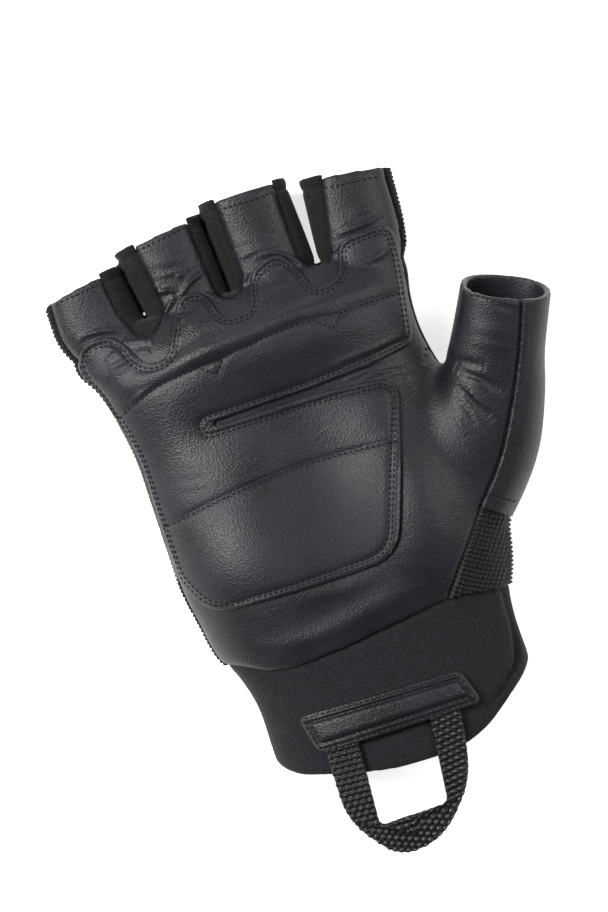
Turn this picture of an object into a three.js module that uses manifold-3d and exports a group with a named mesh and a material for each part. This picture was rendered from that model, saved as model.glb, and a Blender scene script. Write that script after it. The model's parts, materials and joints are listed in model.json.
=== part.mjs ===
import * as THREE from "three";
import { mergeVertices } from "three/addons/utils/BufferGeometryUtils.js";
import Module from "manifold-3d";

// A fingerless glove for the right hand, lying on its back with the palm up. Millimetres, +Z up,
// +Y along the fingers, +X towards the thumb. The tables are in a hand frame whose origin is the
// middle of the palm, on the surface that the glove lies on. The last lines move the whole group,
// so that the origin is under the middle of the glove.
const HAND_TO_GLOVE = new THREE.Vector3(-16.5, 16.4, -0.6);

// Thicknesses of the cloth and leather, and the gap left at every seam.
const WALL = 2.0;
const CUFF_WALL = 2.8;
const CUFF_STEP = 0.5;
const SEAM_GAP = 0.3;
const OVERLAY_EDGE = 1.0;
const OVERLAY_PAD = 1.3;
const PATCH_THICKNESS = 2.7;
const WEBBING_THICKNESS = 1.5;

// The palm and the cuff, cut across. Each row gives the outline's left and right, the height of
// the palm side and the height at which the section is widest. The rows past the cuff's mouth
// carry the webbing loop, which droops a little.
const PALM = [
  { y: -118, left: -28.0, right: 47.0, crown: 34.0, seam: 10.0 },
  { y: -104, left: -29.0, right: 48.0, crown: 37.5, seam: 13.0 },
  { y: -92, left: -29.8, right: 48.6, crown: 39.0, seam: 16.0 },
  { y: -74, left: -30.0, right: 49.2, crown: 38.0, seam: 16.0 },
  { y: -62, left: -30.2, right: 49.0, crown: 36.5, seam: 15.5 },
  { y: -52, left: -32.8, right: 49.8, crown: 36.0, seam: 15.0 },
  { y: -44, left: -36.6, right: 52.8, crown: 36.5, seam: 14.0 },
  { y: -34, left: -38.4, right: 55.0, crown: 37.0, seam: 13.5 },
  { y: -24, left: -40.2, right: 56.0, crown: 36.0, seam: 13.0 },
  { y: -10, left: -40.4, right: 56.0, crown: 33.5, seam: 12.5 },
  { y: 5, left: -40.6, right: 54.6, crown: 31.5, seam: 12.0 },
  { y: 16, left: -40.8, right: 50.6, crown: 30.5, seam: 12.0 },
  { y: 28, left: -42.6, right: 48.4, crown: 30.5, seam: 12.0 },
  { y: 38, left: -45.0, right: 48.8, crown: 30.0, seam: 12.0 },
  { y: 46, left: -49.8, right: 50.4, crown: 27.0, seam: 12.0 },
  { y: 53.8, left: -47.0, right: 49.0, crown: 21.0, seam: 12.0 },
];

// Swellings and hollows of the palm side, as smooth bumps on the sections above.
const MOUNDS = [
  { name: "ball of the thumb", x: 37, y: -17, reachX: 17, reachY: 25, rise: 7.5 },
  { name: "heel of the hand", x: -22, y: -20, reachX: 17, reachY: 26, rise: 3.5 },
  { name: "hollow of the palm", x: 9, y: -2, reachX: 17, reachY: 24, rise: -3.5 },
  { name: "roll under the fingers", x: 0, y: 41, reachX: 42, reachY: 8, rise: 1.6 },
];

// The finger stalls: left and right at the start inside the palm, at the root and at the hem, then
// how far up the hem lies and the degrees that it turns.
const FINGERS = [
  { name: "little", start: [-43.5, -23.5], root: [-51.6, -26.4], hem: [-52.7, -28.8], hemY: 68.4, turn: 10 },
  { name: "ring", start: [-22.0, -1.5], root: [-25.2, -1.0], hem: [-28.9, -2.4], hemY: 75.6, turn: 8 },
  { name: "middle", start: [0.0, 24.6], root: [-0.4, 25.5], hem: [-1.8, 24.2], hemY: 79.8, turn: 0 },
  { name: "index", start: [26.6, 46.5], root: [26.5, 52.2], hem: [28.2, 54.2], hemY: 76.0, turn: -7 },
];
const STALL_START = 40;
const STALL_ROOT = 54;
const STALL_HALF_HEIGHT = { start: 11.4, hem: 10.4 };

// The thumb stall: centres, the way it leans towards the thumb side, its half width and height.
const THUMB = [
  { x: 34.0, y: -29.0, z: 17.5, lean: 42, half: 17.0, halfHeight: 14.0 },
  { x: 45.0, y: -17.4, z: 19.0, lean: 38, half: 18.4, halfHeight: 16.0 },
  { x: 54.2, y: -6.8, z: 21.0, lean: 31, half: 17.8, halfHeight: 15.5 },
  { x: 62.0, y: 5.2, z: 24.0, lean: 22, half: 15.2, halfHeight: 14.0 },
  { x: 66.9, y: 15.4, z: 27.0, lean: 22, half: 13.4, halfHeight: 13.0 },
  { x: 74.1, y: 30.5, z: 31.5, lean: 23, half: 12.7, halfHeight: 12.4 },
];
const THUMB_PITCH = 19;

// How square the sections are: 2 is an ellipse, more is boxier.
const TOP_SQUARE = 2.4;
const FLOOR_SQUARE = 3.6;
const STALL_SQUARE = 2.4;

// How finely the sections follow each other, and how many points go round each.
const PALM_STATION = 7.5;
const PALM_AROUND = 28;
const STALL_STEPS = 5;
const THUMB_STEPS = 10;
const STALL_AROUND = 16;

// The hollows run on past the hems, the back is flat where it lies, and the cuff reaches in under
// the hand as far as this before it is cut at its seam. Cuts reach below and above everything.
const PAST_THE_HEM = 8;
const FLAT_BACK = 0.6;
const CUFF_END = -30;
const UNDERNEATH = -20;
const OVERHEAD = 90;
const PALM_SIDE = 20;

// Seams seen from above, each a smooth line through a few points.
const CUFF_SEAM = [
  { x: -60, y: -46 },
  { x: -34, y: -47.8 },
  { x: -22, y: -52.8 },
  { x: -8, y: -53.2 },
  { x: 16, y: -50.4 },
  { x: 33, y: -48.4 },
  { x: 48, y: -50.4 },
  { x: 90, y: -50 },
];
const PAST_THE_FINGERS = [
  { x: 90, y: 110 },
  { x: -70, y: 110 },
];
const THUMB_SEAM = [
  { x: 82, y: 40 },
  { x: 76.9, y: 26.2 },
  { x: 70.6, y: 10 },
  { x: 64.4, y: -2.9 },
  { x: 57, y: -15.6 },
  { x: 47.6, y: -26.9 },
];
const THUMB_HEEL = [
  { x: 47.6, y: -26.9 },
  { x: 56.2, y: -32.7 },
  { x: 90, y: -50 },
];
const THUMB_SIDE = [{ x: 90, y: 40 }];
const GUSSET_SEAM = [
  { x: 47.6, y: -26.9 },
  { x: 39, y: -38 },
  { x: 31, y: -48.4 },
];
const CUFF_SIDE = [
  { x: 31, y: -60 },
  { x: 90, y: -60 },
];

// Where the thumb's outer leather turns in under it, a little past its front's lower seam.
const UNDER_THUMB = [
  { x: 50, y: 0 },
  { x: 50, y: -31 },
  { x: 56.2, y: -35 },
  { x: 90, y: -52 },
  { x: 90, y: 60 },
  { x: 58, y: 60 },
  { x: 58, y: 16 },
];
const SIDE_SEAM_HEIGHT = 16;

// The knit between two fingers: its left and right edge, from its rounded foot up past the hems.
const SIDEWALLS = {
  little_ring: [
    { y: 48.8, left: -27.4, right: -25 },
    { y: 50.2, left: -29.8, right: -22.6 },
    { y: 53.2, left: -31, right: -20.6 },
    { y: 57.4, left: -33.1, right: -20.6 },
    { y: 90, left: -37.5, right: -24.6 },
  ],
  ring_middle: [
    { y: 52, left: -2.2, right: 0.9 },
    { y: 53.2, left: -3.6, right: 2.6 },
    { y: 57.2, left: -4.5, right: 3.7 },
    { y: 90, left: -7.4, right: 2.8 },
  ],
  middle_index: [
    { y: 52.8, left: 25, right: 28.2 },
    { y: 54.3, left: 23.4, right: 29.6 },
    { y: 57.3, left: 21.2, right: 30.2 },
    { y: 90, left: 20.4, right: 37.6 },
  ],
};
const SIDEWALL_LOW = 6;
const SIDEWALL_TURN_IN = 3;

// The padded reinforcement: the corners of its outline, each rounded by its own distance.
const OVERLAY = [
  { at: "side seam", x: -50, y: 46, round: 0 },
  { at: "little finger", x: -45.5, y: 52.6, round: 4 },
  { at: "little finger", x: -35.2, y: 52.4, round: 5 },
  { at: "first dip", x: -30.4, y: 40.9, round: 4 },
  { at: "first dip", x: -23.4, y: 40.9, round: 3 },
  { at: "ring finger", x: -15.6, y: 57.2, round: 6 },
  { at: "ring finger", x: -7.6, y: 56.9, round: 4.5 },
  { at: "second dip", x: -4.5, y: 46.8, round: 3 },
  { at: "second dip", x: 3.5, y: 46.8, round: 3 },
  { at: "middle finger", x: 5.2, y: 56.6, round: 5 },
  { at: "middle finger", x: 15, y: 61, round: 5 },
  { at: "middle finger", x: 20.2, y: 55, round: 3 },
  { at: "third dip", x: 22.6, y: 46.6, round: 3 },
  { at: "third dip", x: 30.8, y: 48.4, round: 3 },
  { at: "index finger", x: 32, y: 58, round: 6 },
  { at: "index finger", x: 49.7, y: 58.8, round: 6 },
  { at: "thumb side", x: 49.6, y: 49, round: 5 },
  { at: "above the slit", x: 45.3, y: 23.4, round: 4 },
  { at: "above the slit", x: 30, y: 21.3, round: 0 },
  { at: "above the slit", x: 12, y: 20.1, round: 0 },
  { at: "slit tip", x: -18.4, y: 19.7, round: 0.7 },
  { at: "slit tip", x: -18.4, y: 18.3, round: 0.7 },
  { at: "below the slit", x: 18, y: 18, round: 0 },
  { at: "below the slit", x: 34.4, y: 16.6, round: 3 },
  { at: "below the slit", x: 37, y: 12, round: 2.5 },
  { at: "heel", x: 21, y: -32.5, round: 8 },
  { at: "heel", x: -6, y: -33.1, round: 0 },
  { at: "heel", x: -34, y: -32.4, round: 7 },
  { at: "side seam", x: -40.5, y: -21, round: 4 },
  { at: "side seam", x: -42.5, y: -8, round: 3 },
  { at: "side seam", x: -43, y: 20, round: 0 },
];
const OVERLAY_LOW = 17;
const PAD_MARGIN = 4;

// The rows of quilting that part the padding, the first with two notches.
const QUILTING = [
  [
    { x: -48, y: 28.4 },
    { x: -33.3, y: 32 },
    { x: -15.6, y: 35.8 },
    { x: -11.1, y: 32 },
    { x: -8, y: 35.8 },
    { x: 10, y: 38.3 },
    { x: 19.4, y: 38.8 },
    { x: 23.9, y: 34.1 },
    { x: 26.4, y: 37.4 },
    { x: 52, y: 38.6 },
  ],
  [
    { x: -48, y: -6 },
    { x: -21.6, y: -2.4 },
    { x: -3, y: 0 },
    { x: 14, y: -0.1 },
    { x: 40, y: -1.8 },
  ],
];
const QUILTING_WIDTH = 2.2;

// The leather strip on the cuff, the webbing loop sewn in under it, and the mouth of the cuff.
const PATCH = [
  { x: -19.8, y: -66.8, round: 3 },
  { x: 28.2, y: -67.9, round: 3 },
  { x: 31.8, y: -78.5, round: 3 },
  { x: -17, y: -78.6, round: 3 },
];
const LOOP_OUTER = [
  { x: -14.7, y: -71.5, round: 0 },
  { x: -15.2, y: -99.5, round: 8 },
  { x: -4, y: -113.4, round: 6 },
  { x: 9, y: -111.9, round: 8 },
  { x: 21.8, y: -98.4, round: 9 },
  { x: 26, y: -71.5, round: 0 },
];
const LOOP_INNER = [
  { x: 16.6, y: -71.5, round: 0 },
  { x: 13.4, y: -102.2, round: 2 },
  { x: -6.6, y: -102.8, round: 2 },
  { x: -4.8, y: -71.5, round: 0 },
];
const MOUTH = [
  { x: -36, y: -30, round: 0 },
  { x: -34, y: -64, round: 0 },
  { x: -29.5, y: -82, round: 9 },
  { x: 4, y: -90, round: 14 },
  { x: 27, y: -89, round: 10 },
  { x: 48.5, y: -73.5, round: 6 },
  { x: 54, y: -60, round: 0 },
  { x: 60, y: -30, round: 0 },
];

// Solids can be cut and joined once this is ready.
const wasm = await Module();
wasm.setup();

const SAME_POINT = 1e-4;
const radians = (degrees) => (degrees * Math.PI) / 180;
const signedPower = (value, power) => Math.sign(value) * Math.abs(value) ** power;

// A closed geometry as a solid that can be cut and joined.
function solid(geometry) {
  const bare = geometry.clone();
  for (const name of Object.keys(bare.attributes)) {
    if (name !== "position") bare.deleteAttribute(name);
  }
  const merged = mergeVertices(bare, SAME_POINT);
  return new wasm.Manifold(
    new wasm.Mesh({
      numProp: 3,
      vertProperties: merged.attributes.position.array,
      triVerts: new Uint32Array(merged.index.array),
    }),
  );
}

function union(solids) {
  return solids.reduce((all, next) => all.add(next));
}

// The value of every column of a table at a place along one of them, on a smooth curve.
function rowAt(rows, key, place) {
  const last = rows.length - 1;
  let i = 0;
  while (i < last - 1 && rows[i + 1][key] < place) i += 1;
  const [before, from, to] = [rows[Math.max(i - 1, 0)], rows[i], rows[i + 1]];
  const after = rows[Math.min(i + 2, last)];
  const span = to[key] - from[key];
  const t = (place - from[key]) / span;
  const row = { [key]: place };
  for (const name of Object.keys(from)) {
    if (name === key || typeof from[name] !== "number") continue;
    const slopeFrom = ((to[name] - before[name]) / (to[key] - before[key])) * span;
    const slopeTo = ((after[name] - from[name]) / (after[key] - from[key])) * span;
    const t2 = t * t;
    const t3 = t2 * t;
    row[name] =
      (2 * t3 - 3 * t2 + 1) * from[name] + (t3 - 2 * t2 + t) * slopeFrom +
      (3 * t2 - 2 * t3) * to[name] + (t3 - t2) * slopeTo;
  }
  return row;
}

// How far the mounds lift the palm side at a place.
function relief(x, y) {
  return MOUNDS.reduce(
    (sum, m) => sum + m.rise * Math.exp(-(((x - m.x) / m.reachX) ** 2) - ((y - m.y) / m.reachY) ** 2),
    0,
  );
}

// A closed solid through rings of equal counts of points, with a fan over each end.
function loft(rings) {
  const around = rings[0].length;
  const middle = (ring) => ring.reduce((sum, p) => sum.add(p), new THREE.Vector3()).divideScalar(around);
  const points = [...rings.flat(), middle(rings[0]), middle(rings.at(-1))];
  const [firstHub, lastHub] = [points.length - 2, points.length - 1];
  const lastRing = (rings.length - 1) * around;
  const faces = [];
  for (let i = 0; i < around; i += 1) {
    const next = (i + 1) % around;
    faces.push(firstHub, next, i, lastHub, lastRing + i, lastRing + next);
    for (let r = 0; r < lastRing; r += around) {
      faces.push(r + i, r + next, r + around + next, r + i, r + around + next, r + around + i);
    }
  }
  const geometry = new THREE.BufferGeometry().setFromPoints(points);
  geometry.setIndex(faces);
  const made = solid(geometry);
  if (made.volume() > 0) return made;
  for (let i = 0; i < faces.length; i += 3) [faces[i], faces[i + 1]] = [faces[i + 1], faces[i]];
  geometry.setIndex(faces);
  return solid(geometry);
}

// The palm and cuff, a distance inside the outer surface, or outside it where inset is negative.
function palmForm(inset, from, to) {
  const stations = Math.round((to - from) / PALM_STATION);
  const rings = [];
  for (let s = 0; s <= stations; s += 1) {
    const row = rowAt(PALM, "y", from + ((to - from) * s) / stations);
    const centre = (row.left + row.right) / 2;
    const half = (row.right - row.left) / 2 - inset;
    const ring = [];
    for (let i = 0; i < PALM_AROUND; i += 1) {
      const angle = (i / PALM_AROUND) * 2 * Math.PI;
      const [c, v] = [Math.cos(angle), Math.sin(angle)];
      const square = v > 0 ? TOP_SQUARE : FLOOR_SQUARE;
      const x = centre + half * signedPower(c, 2 / square);
      const rise = v > 0 ? row.crown - row.seam - inset + relief(x, row.y) : row.seam - inset;
      ring.push(new THREE.Vector3(x, row.y, row.seam + rise * signedPower(v, 2 / square)));
    }
    rings.push(ring);
  }
  return loft(rings);
}

// One ring of a stall: across and up span its plane.
function stallRing(centre, across, up, half, halfHeight) {
  return Array.from({ length: STALL_AROUND }, (_, i) => {
    const angle = (i / STALL_AROUND) * 2 * Math.PI;
    return centre
      .clone()
      .addScaledVector(across, half * signedPower(Math.cos(angle), 2 / STALL_SQUARE))
      .addScaledVector(up, halfHeight * signedPower(Math.sin(angle), 2 / STALL_SQUARE));
  });
}

// A stall runs from inside the palm to its hem, or past it for the hollow.
function fingerForm(finger, inset, past) {
  const up = new THREE.Vector3(0, 0, 1);
  const rows = [
    { y: STALL_START, left: finger.start[0], right: finger.start[1] },
    { y: STALL_ROOT, left: finger.root[0], right: finger.root[1] },
    { y: finger.hemY, left: finger.hem[0], right: finger.hem[1] },
  ];
  return loft(
    Array.from({ length: STALL_STEPS + 1 }, (_, s) => {
      const place = THREE.MathUtils.lerp(STALL_START, finger.hemY + past, s / STALL_STEPS);
      const { y, left, right } = rowAt(rows, "y", place);
      const along = (y - STALL_START) / (finger.hemY - STALL_START);
      const halfHeight = THREE.MathUtils.lerp(STALL_HALF_HEIGHT.start, STALL_HALF_HEIGHT.hem, along);
      const turn = radians(finger.turn * THREE.MathUtils.clamp(along, 0, 1));
      const centre = new THREE.Vector3((left + right) / 2, y, halfHeight);
      const across = new THREE.Vector3(1, Math.tan(turn), 0);
      return stallRing(centre, across, up, (right - left) / 2 - inset, halfHeight - inset);
    }),
  );
}

// The thumb leans to the side and rises towards its tip.
function thumbFacing(degrees) {
  const lean = radians(degrees);
  const pitch = radians(THUMB_PITCH);
  const across = new THREE.Vector3(Math.cos(lean), -Math.sin(lean), 0);
  const up = new THREE.Vector3(-Math.sin(lean), -Math.cos(lean), 0).multiplyScalar(Math.sin(pitch));
  up.z = Math.cos(pitch);
  return { across, up };
}

function thumbForm(inset, past) {
  const rows = THUMB.map((row, station) => ({ station, ...row }));
  const rings = Array.from({ length: THUMB_STEPS + 1 }, (_, s) => {
    const row = rowAt(rows, "station", (s / THUMB_STEPS) * (rows.length - 1));
    const centre = new THREE.Vector3(row.x, row.y, row.z);
    return { centre, ...thumbFacing(row.lean), half: row.half - inset, halfHeight: row.halfHeight - inset };
  });
  if (past > 0) {
    const hem = rings.at(-1);
    const axis = hem.up.clone().cross(hem.across);
    rings.push({ ...hem, centre: hem.centre.clone().addScaledVector(axis, past) });
  }
  return loft(rings.map((r) => stallRing(r.centre, r.across, r.up, r.half, r.halfHeight)));
}

// The whole hand form, a distance inside the glove's surface, or outside it if inset is negative.
function handForm(inset, past = 0) {
  const palm = palmForm(inset, PALM[0].y, PALM.at(-1).y - inset);
  return union([palm, ...FINGERS.map((f) => fingerForm(f, inset, past)), thumbForm(inset, past)]);
}

// A smooth line through a few points.
function smooth(points, between = 2) {
  const curve = new THREE.SplineCurve(points.map(({ x, y }) => new THREE.Vector2(x, y)));
  return curve.getPoints((points.length - 1) * between);
}

// An outline through corners, each rounded off by its own distance.
function rounded(corners, steps = 3) {
  const places = corners.map(({ x, y }) => new THREE.Vector2(x, y));
  return corners.flatMap(({ round }, i) => {
    if (!round) return [places[i]];
    const [from, to] = [places.at(i - 1), places[(i + 1) % places.length]].map((next) =>
      places[i].clone().lerp(next, Math.min(round / places[i].distanceTo(next), 0.5)),
    );
    return new THREE.QuadraticBezierCurve(from, places[i], to).getPoints(steps);
  });
}

// An outline moved outwards by a distance, or inwards where it is negative. At a sharp corner it
// moves no further than this share allows.
const SHARPEST_TURN = 0.4;

function widened(outline, distance) {
  const outwards = THREE.ShapeUtils.isClockWise(outline) ? -distance : distance;
  return outline.map((corner, i) => {
    const before = new THREE.Vector2().subVectors(corner, outline.at(i - 1)).normalize();
    const after = new THREE.Vector2().subVectors(outline[(i + 1) % outline.length], corner).normalize();
    const along = before.clone().add(after).normalize();
    const reach = outwards / Math.max(along.dot(after), SHARPEST_TURN);
    return { ...corner, x: corner.x + along.y * reach, y: corner.y - along.x * reach };
  });
}

// Everything inside an outline and between two heights, with a margin all round.
function prism(outline, low = UNDERNEATH, high = OVERHEAD, margin = 0) {
  const shape = new THREE.Shape(widened(outline, margin).map(({ x, y }) => new THREE.Vector2(x, y)));
  const depth = high - low + 2 * margin;
  const geometry = new THREE.ExtrudeGeometry(shape, { depth, bevelEnabled: false });
  return solid(geometry.translate(0, 0, low - margin));
}

// A band of a width along a line.
function band(line, width) {
  const side = (distance) =>
    line.map(({ x, y }, i) => {
      const behind = line[Math.max(i - 1, 0)];
      const ahead = line[Math.min(i + 1, line.length - 1)];
      const along = new THREE.Vector2().subVectors(ahead, behind).normalize();
      return { x: x - along.y * distance, y: y + along.x * distance };
    });
  return prism([...side(width / 2), ...side(-width / 2).toReversed()]);
}

// What lies above a slanted plane through a point.
function above(point, normal, lift) {
  const reach = 300;
  const box = new THREE.BoxGeometry(reach, reach, reach).translate(0, 0, reach / 2 + lift);
  box.applyQuaternion(new THREE.Quaternion().setFromUnitVectors(new THREE.Vector3(0, 0, 1), normal));
  return solid(box.translate(point.x, point.y, point.z));
}

// The walls of the hand, flat underneath where the glove lies on its back.
const everywhere = [
  { x: -90, y: -130 },
  { x: 120, y: -130 },
  { x: 120, y: 110 },
  { x: -90, y: 110 },
];
const overTable = prism(everywhere, FLAT_BACK);
const cuffSeam = smooth(CUFF_SEAM);
const handArea = [...cuffSeam, ...PAST_THE_FINGERS];
const hand = handForm(0)
  .subtract(handForm(WALL, PAST_THE_HEM))
  .intersect(overTable)
  .intersect(prism(handArea));

// The places of the pieces. A margin round each leaves the gap of its seam.
const thumbMiddle = new THREE.Vector3(THUMB[3].x, THUMB[3].y, THUMB[3].z);
const thumbUp = thumbFacing(THUMB[3].lean).up;

function thumbPlace(margin) {
  const outline = [...smooth(THUMB_SEAM), ...THUMB_HEEL.slice(1), ...THUMB_SIDE];
  const upperHalf = above(thumbMiddle, thumbUp, margin);
  const under = prism(UNDER_THUMB, UNDERNEATH, OVERHEAD, margin).subtract(upperHalf);
  return prism(outline, UNDERNEATH, OVERHEAD, margin).add(under);
}

function gussetPlace(margin) {
  const outline = [...smooth(GUSSET_SEAM), ...CUFF_SIDE, ...THUMB_HEEL.toReversed()];
  return prism(outline, SIDE_SEAM_HEIGHT, OVERHEAD, margin);
}

// A finger's side wall is wider below the leather's edge than above it.
function sidewallPlace(rows, margin) {
  const outline = [
    ...rows.map(({ y, left }) => ({ x: left, y })),
    ...rows.map(({ y, right }) => ({ x: right, y })).toReversed(),
  ];
  const below = prism(widened(outline, SIDEWALL_TURN_IN), SIDEWALL_LOW, SIDE_SEAM_HEIGHT, margin);
  return prism(outline, SIDEWALL_LOW, OVERHEAD, margin).add(below);
}

const thumbOutside = hand.intersect(thumbPlace(0));
const palmAndBack = hand.subtract(thumbPlace(SEAM_GAP));
const gusset = palmAndBack.intersect(gussetPlace(0));
const gaps = Object.values(SIDEWALLS).map((rows) => sidewallPlace(rows, SEAM_GAP));
const placesCutOut = [gussetPlace(SEAM_GAP), ...gaps];
const panels = palmAndBack.subtract(union(placesCutOut));
const front = panels.intersect(prism(everywhere, SIDE_SEAM_HEIGHT));
const back = panels.subtract(prism(everywhere, SIDE_SEAM_HEIGHT, OVERHEAD, SEAM_GAP));

const cuffForm = (inset) => palmForm(inset, PALM[0].y, CUFF_END);
const cuff = cuffForm(CUFF_STEP)
  .subtract(cuffForm(CUFF_STEP + CUFF_WALL))
  .intersect(prism(rounded(MOUTH)))
  .subtract(prism(handArea, UNDERNEATH, OVERHEAD, SEAM_GAP))
  .intersect(overTable);

// The padded reinforcement lies on the palm: a thin edge, with thicker pads between the quilting.
const onPalm = handForm(-SEAM_GAP);
const edging = handForm(-SEAM_GAP - OVERLAY_EDGE)
  .subtract(onPalm)
  .intersect(prism(rounded(OVERLAY), OVERLAY_LOW));
const padding = handForm(-SEAM_GAP - OVERLAY_EDGE - OVERLAY_PAD)
  .subtract(onPalm)
  .intersect(prism(rounded(widened(OVERLAY, -PAD_MARGIN), 2), OVERLAY_LOW))
  .subtract(union(QUILTING.map((line) => band(line, QUILTING_WIDTH))));
const overlay = edging.add(padding);

// The webbing lies on the cuff, and its ends go in under the strip.
const onCuff = cuffForm(CUFF_STEP - SEAM_GAP);
const webbing = (margin) => {
  const place = prism([...rounded(LOOP_OUTER), ...rounded(LOOP_INNER)], PALM_SIDE, OVERHEAD, margin);
  return cuffForm(CUFF_STEP - SEAM_GAP - WEBBING_THICKNESS - margin).intersect(place);
};
const loop = webbing(0).subtract(onCuff);
const patch = cuffForm(CUFF_STEP - SEAM_GAP - PATCH_THICKNESS)
  .subtract(onCuff)
  .intersect(prism(rounded(PATCH, 2), PALM_SIDE))
  .subtract(webbing(SEAM_GAP));

// A node: the solid, named, in its own material.
const MATERIALS = {
  palm_leather: { color: 0x24262b, roughness: 0.5, metalness: 0 },
  overlay_leather: { color: 0x22242a, roughness: 0.48, metalness: 0 },
  stretch_knit: { color: 0x1a1b1f, roughness: 0.9, metalness: 0 },
  nub_knit: { color: 0x1d1e24, roughness: 0.92, metalness: 0 },
  jersey_neoprene: { color: 0x202125, roughness: 0.88, metalness: 0 },
  webbing: { color: 0x1c1d1f, roughness: 0.7, metalness: 0 },
};

function node(name, material, made) {
  const mesh = made.getMesh();
  const geometry = new THREE.BufferGeometry();
  const points = new Float32Array(mesh.numVert * 3);
  for (let i = 0; i < mesh.numVert; i += 1) {
    points.set(mesh.vertProperties.subarray(i * mesh.numProp, i * mesh.numProp + 3), i * 3);
  }
  geometry.setAttribute("position", new THREE.BufferAttribute(points, 3));
  geometry.setIndex(new THREE.BufferAttribute(mesh.triVerts, 1));
  geometry.computeVertexNormals();
  const piece = new THREE.Mesh(geometry, new THREE.MeshStandardMaterial(MATERIALS[material]));
  piece.name = name;
  return piece;
}

const glove = new THREE.Group();
glove.add(
  node("palm_leather", "palm_leather", front),
  node("palm_overlay", "overlay_leather", overlay),
  node("thumb_back", "palm_leather", thumbOutside),
  ...Object.entries(SIDEWALLS).map(([fingers, rows]) =>
    node(`sidewall_${fingers}`, "stretch_knit", palmAndBack.intersect(sidewallPlace(rows, 0))),
  ),
  node("side_gusset", "nub_knit", gusset),
  node("back_panel", "nub_knit", back),
  node("cuff", "jersey_neoprene", cuff),
  node("pull_patch", "overlay_leather", patch),
  node("pull_loop", "webbing", loop),
);
glove.children.forEach((piece) => piece.position.copy(HAND_TO_GLOVE));

export default glove;
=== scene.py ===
import json
import math

import bmesh
import bpy
import numpy as np
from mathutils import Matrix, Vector
from mathutils.bvhtree import BVHTree
from mathutils.geometry import tessellate_polygon

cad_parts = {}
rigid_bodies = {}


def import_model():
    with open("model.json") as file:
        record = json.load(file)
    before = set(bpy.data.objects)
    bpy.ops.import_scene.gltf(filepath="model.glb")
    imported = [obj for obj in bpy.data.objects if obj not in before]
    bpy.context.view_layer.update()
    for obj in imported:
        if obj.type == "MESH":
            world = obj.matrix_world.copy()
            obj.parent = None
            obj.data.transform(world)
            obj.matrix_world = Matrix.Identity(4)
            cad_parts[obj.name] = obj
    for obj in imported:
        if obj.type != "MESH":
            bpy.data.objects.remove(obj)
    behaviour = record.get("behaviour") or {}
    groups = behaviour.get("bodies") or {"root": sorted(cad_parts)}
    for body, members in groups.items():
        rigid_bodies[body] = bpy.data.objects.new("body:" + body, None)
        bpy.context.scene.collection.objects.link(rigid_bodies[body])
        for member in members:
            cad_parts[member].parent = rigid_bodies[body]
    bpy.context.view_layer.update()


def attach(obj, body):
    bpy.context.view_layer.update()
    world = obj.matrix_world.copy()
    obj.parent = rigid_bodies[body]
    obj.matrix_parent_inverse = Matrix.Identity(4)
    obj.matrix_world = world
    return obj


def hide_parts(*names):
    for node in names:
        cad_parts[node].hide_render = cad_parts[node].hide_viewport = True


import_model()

# Palm leather. One cut of smooth black leather that covers the palm, the fronts of the four finger
# stalls and the inner half of the thumb. It is sewn to the knit along the sides of the glove and
# turned in at the hems. Millimetres, from the middle of the palm and just below the table.
TABLE = 0.6
PALM_TO_GLOVE = np.array([-16.5, 16.4, -TABLE])
PALM = np.array([
    # y, left, right, crown, widest at
    [-118, -28.0, 47.0, 34.0, 10.0],
    [-104, -29.0, 48.0, 37.5, 13.0],
    [-92, -29.8, 48.6, 39.0, 16.0],
    [-74, -30.0, 49.2, 38.0, 16.0],
    [-62, -30.2, 49.0, 36.5, 15.5],
    [-52, -32.8, 49.8, 36.0, 15.0],
    [-44, -36.6, 52.8, 36.5, 14.0],
    [-34, -38.4, 55.0, 37.0, 13.5],
    [-24, -40.2, 56.0, 36.0, 13.0],
    [-10, -40.4, 56.0, 33.5, 12.5],
    [5, -40.6, 54.6, 31.5, 12.0],
    [16, -40.8, 50.6, 30.5, 12.0],
    [28, -42.6, 48.4, 30.5, 12.0],
    [38, -45.0, 48.8, 30.0, 12.0],
    [46, -49.8, 50.4, 27.0, 12.0],
    [53.8, -47.0, 49.0, 21.0, 12.0],
])
MOUNDS = [
    # x, y, reach across, reach along, rise
    (37, -17, 17, 25, 7.5),
    (-22, -20, 17, 26, 3.5),
    (9, -2, 17, 24, -3.5),
    (0, 41, 42, 8, 1.6),
]
STALLS = {
    # finger: rows of y, left, right from inside the palm to the hem, then the hem's turn
    "little": ([(40, -43.5, -23.5), (54, -51.6, -26.4), (68.4, -52.7, -28.8)], 10),
    "ring": ([(40, -22.0, -1.5), (54, -25.2, -1.0), (75.6, -28.9, -2.4)], 8),
    "middle": ([(40, 0.0, 24.6), (54, -0.4, 25.5), (79.8, -1.8, 24.2)], 0),
    "index": ([(40, 26.6, 46.5), (54, 26.5, 52.2), (76.0, 28.2, 54.2)], -7),
}
THUMB = np.array([
    # station, x, y, z, lean, half width, half height
    [0, 34.0, -29.0, 17.5, 42, 17.0, 14.0],
    [1, 45.0, -17.4, 19.0, 38, 18.4, 16.0],
    [2, 54.2, -6.8, 21.0, 31, 17.8, 15.5],
    [3, 62.0, 5.2, 24.0, 22, 15.2, 14.0],
    [4, 66.9, 15.4, 27.0, 22, 13.4, 13.0],
    [5, 74.1, 30.5, 31.5, 23, 12.7, 12.4],
])
THUMB_PITCH = math.radians(19)
STALL_HALF_HEIGHT = 11.4
TOP_SQUARENESS = 2.4    # 2 would be an ellipse
UNDER_SQUARENESS = 3.6
WALL = 2.0              # leather and knit
SEAM_GAP = 0.3          # between two layers that are sewn together
CLOSED_SEAM = -0.3      # the leather runs this far over the knit that is let in
LAPPED_SEAM = -1.4      # and should end this far under the outer half of the thumb
OPEN_SEAM = -0.3
SIDE_SEAM = 16.0        # height of the seam along the sides
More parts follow.
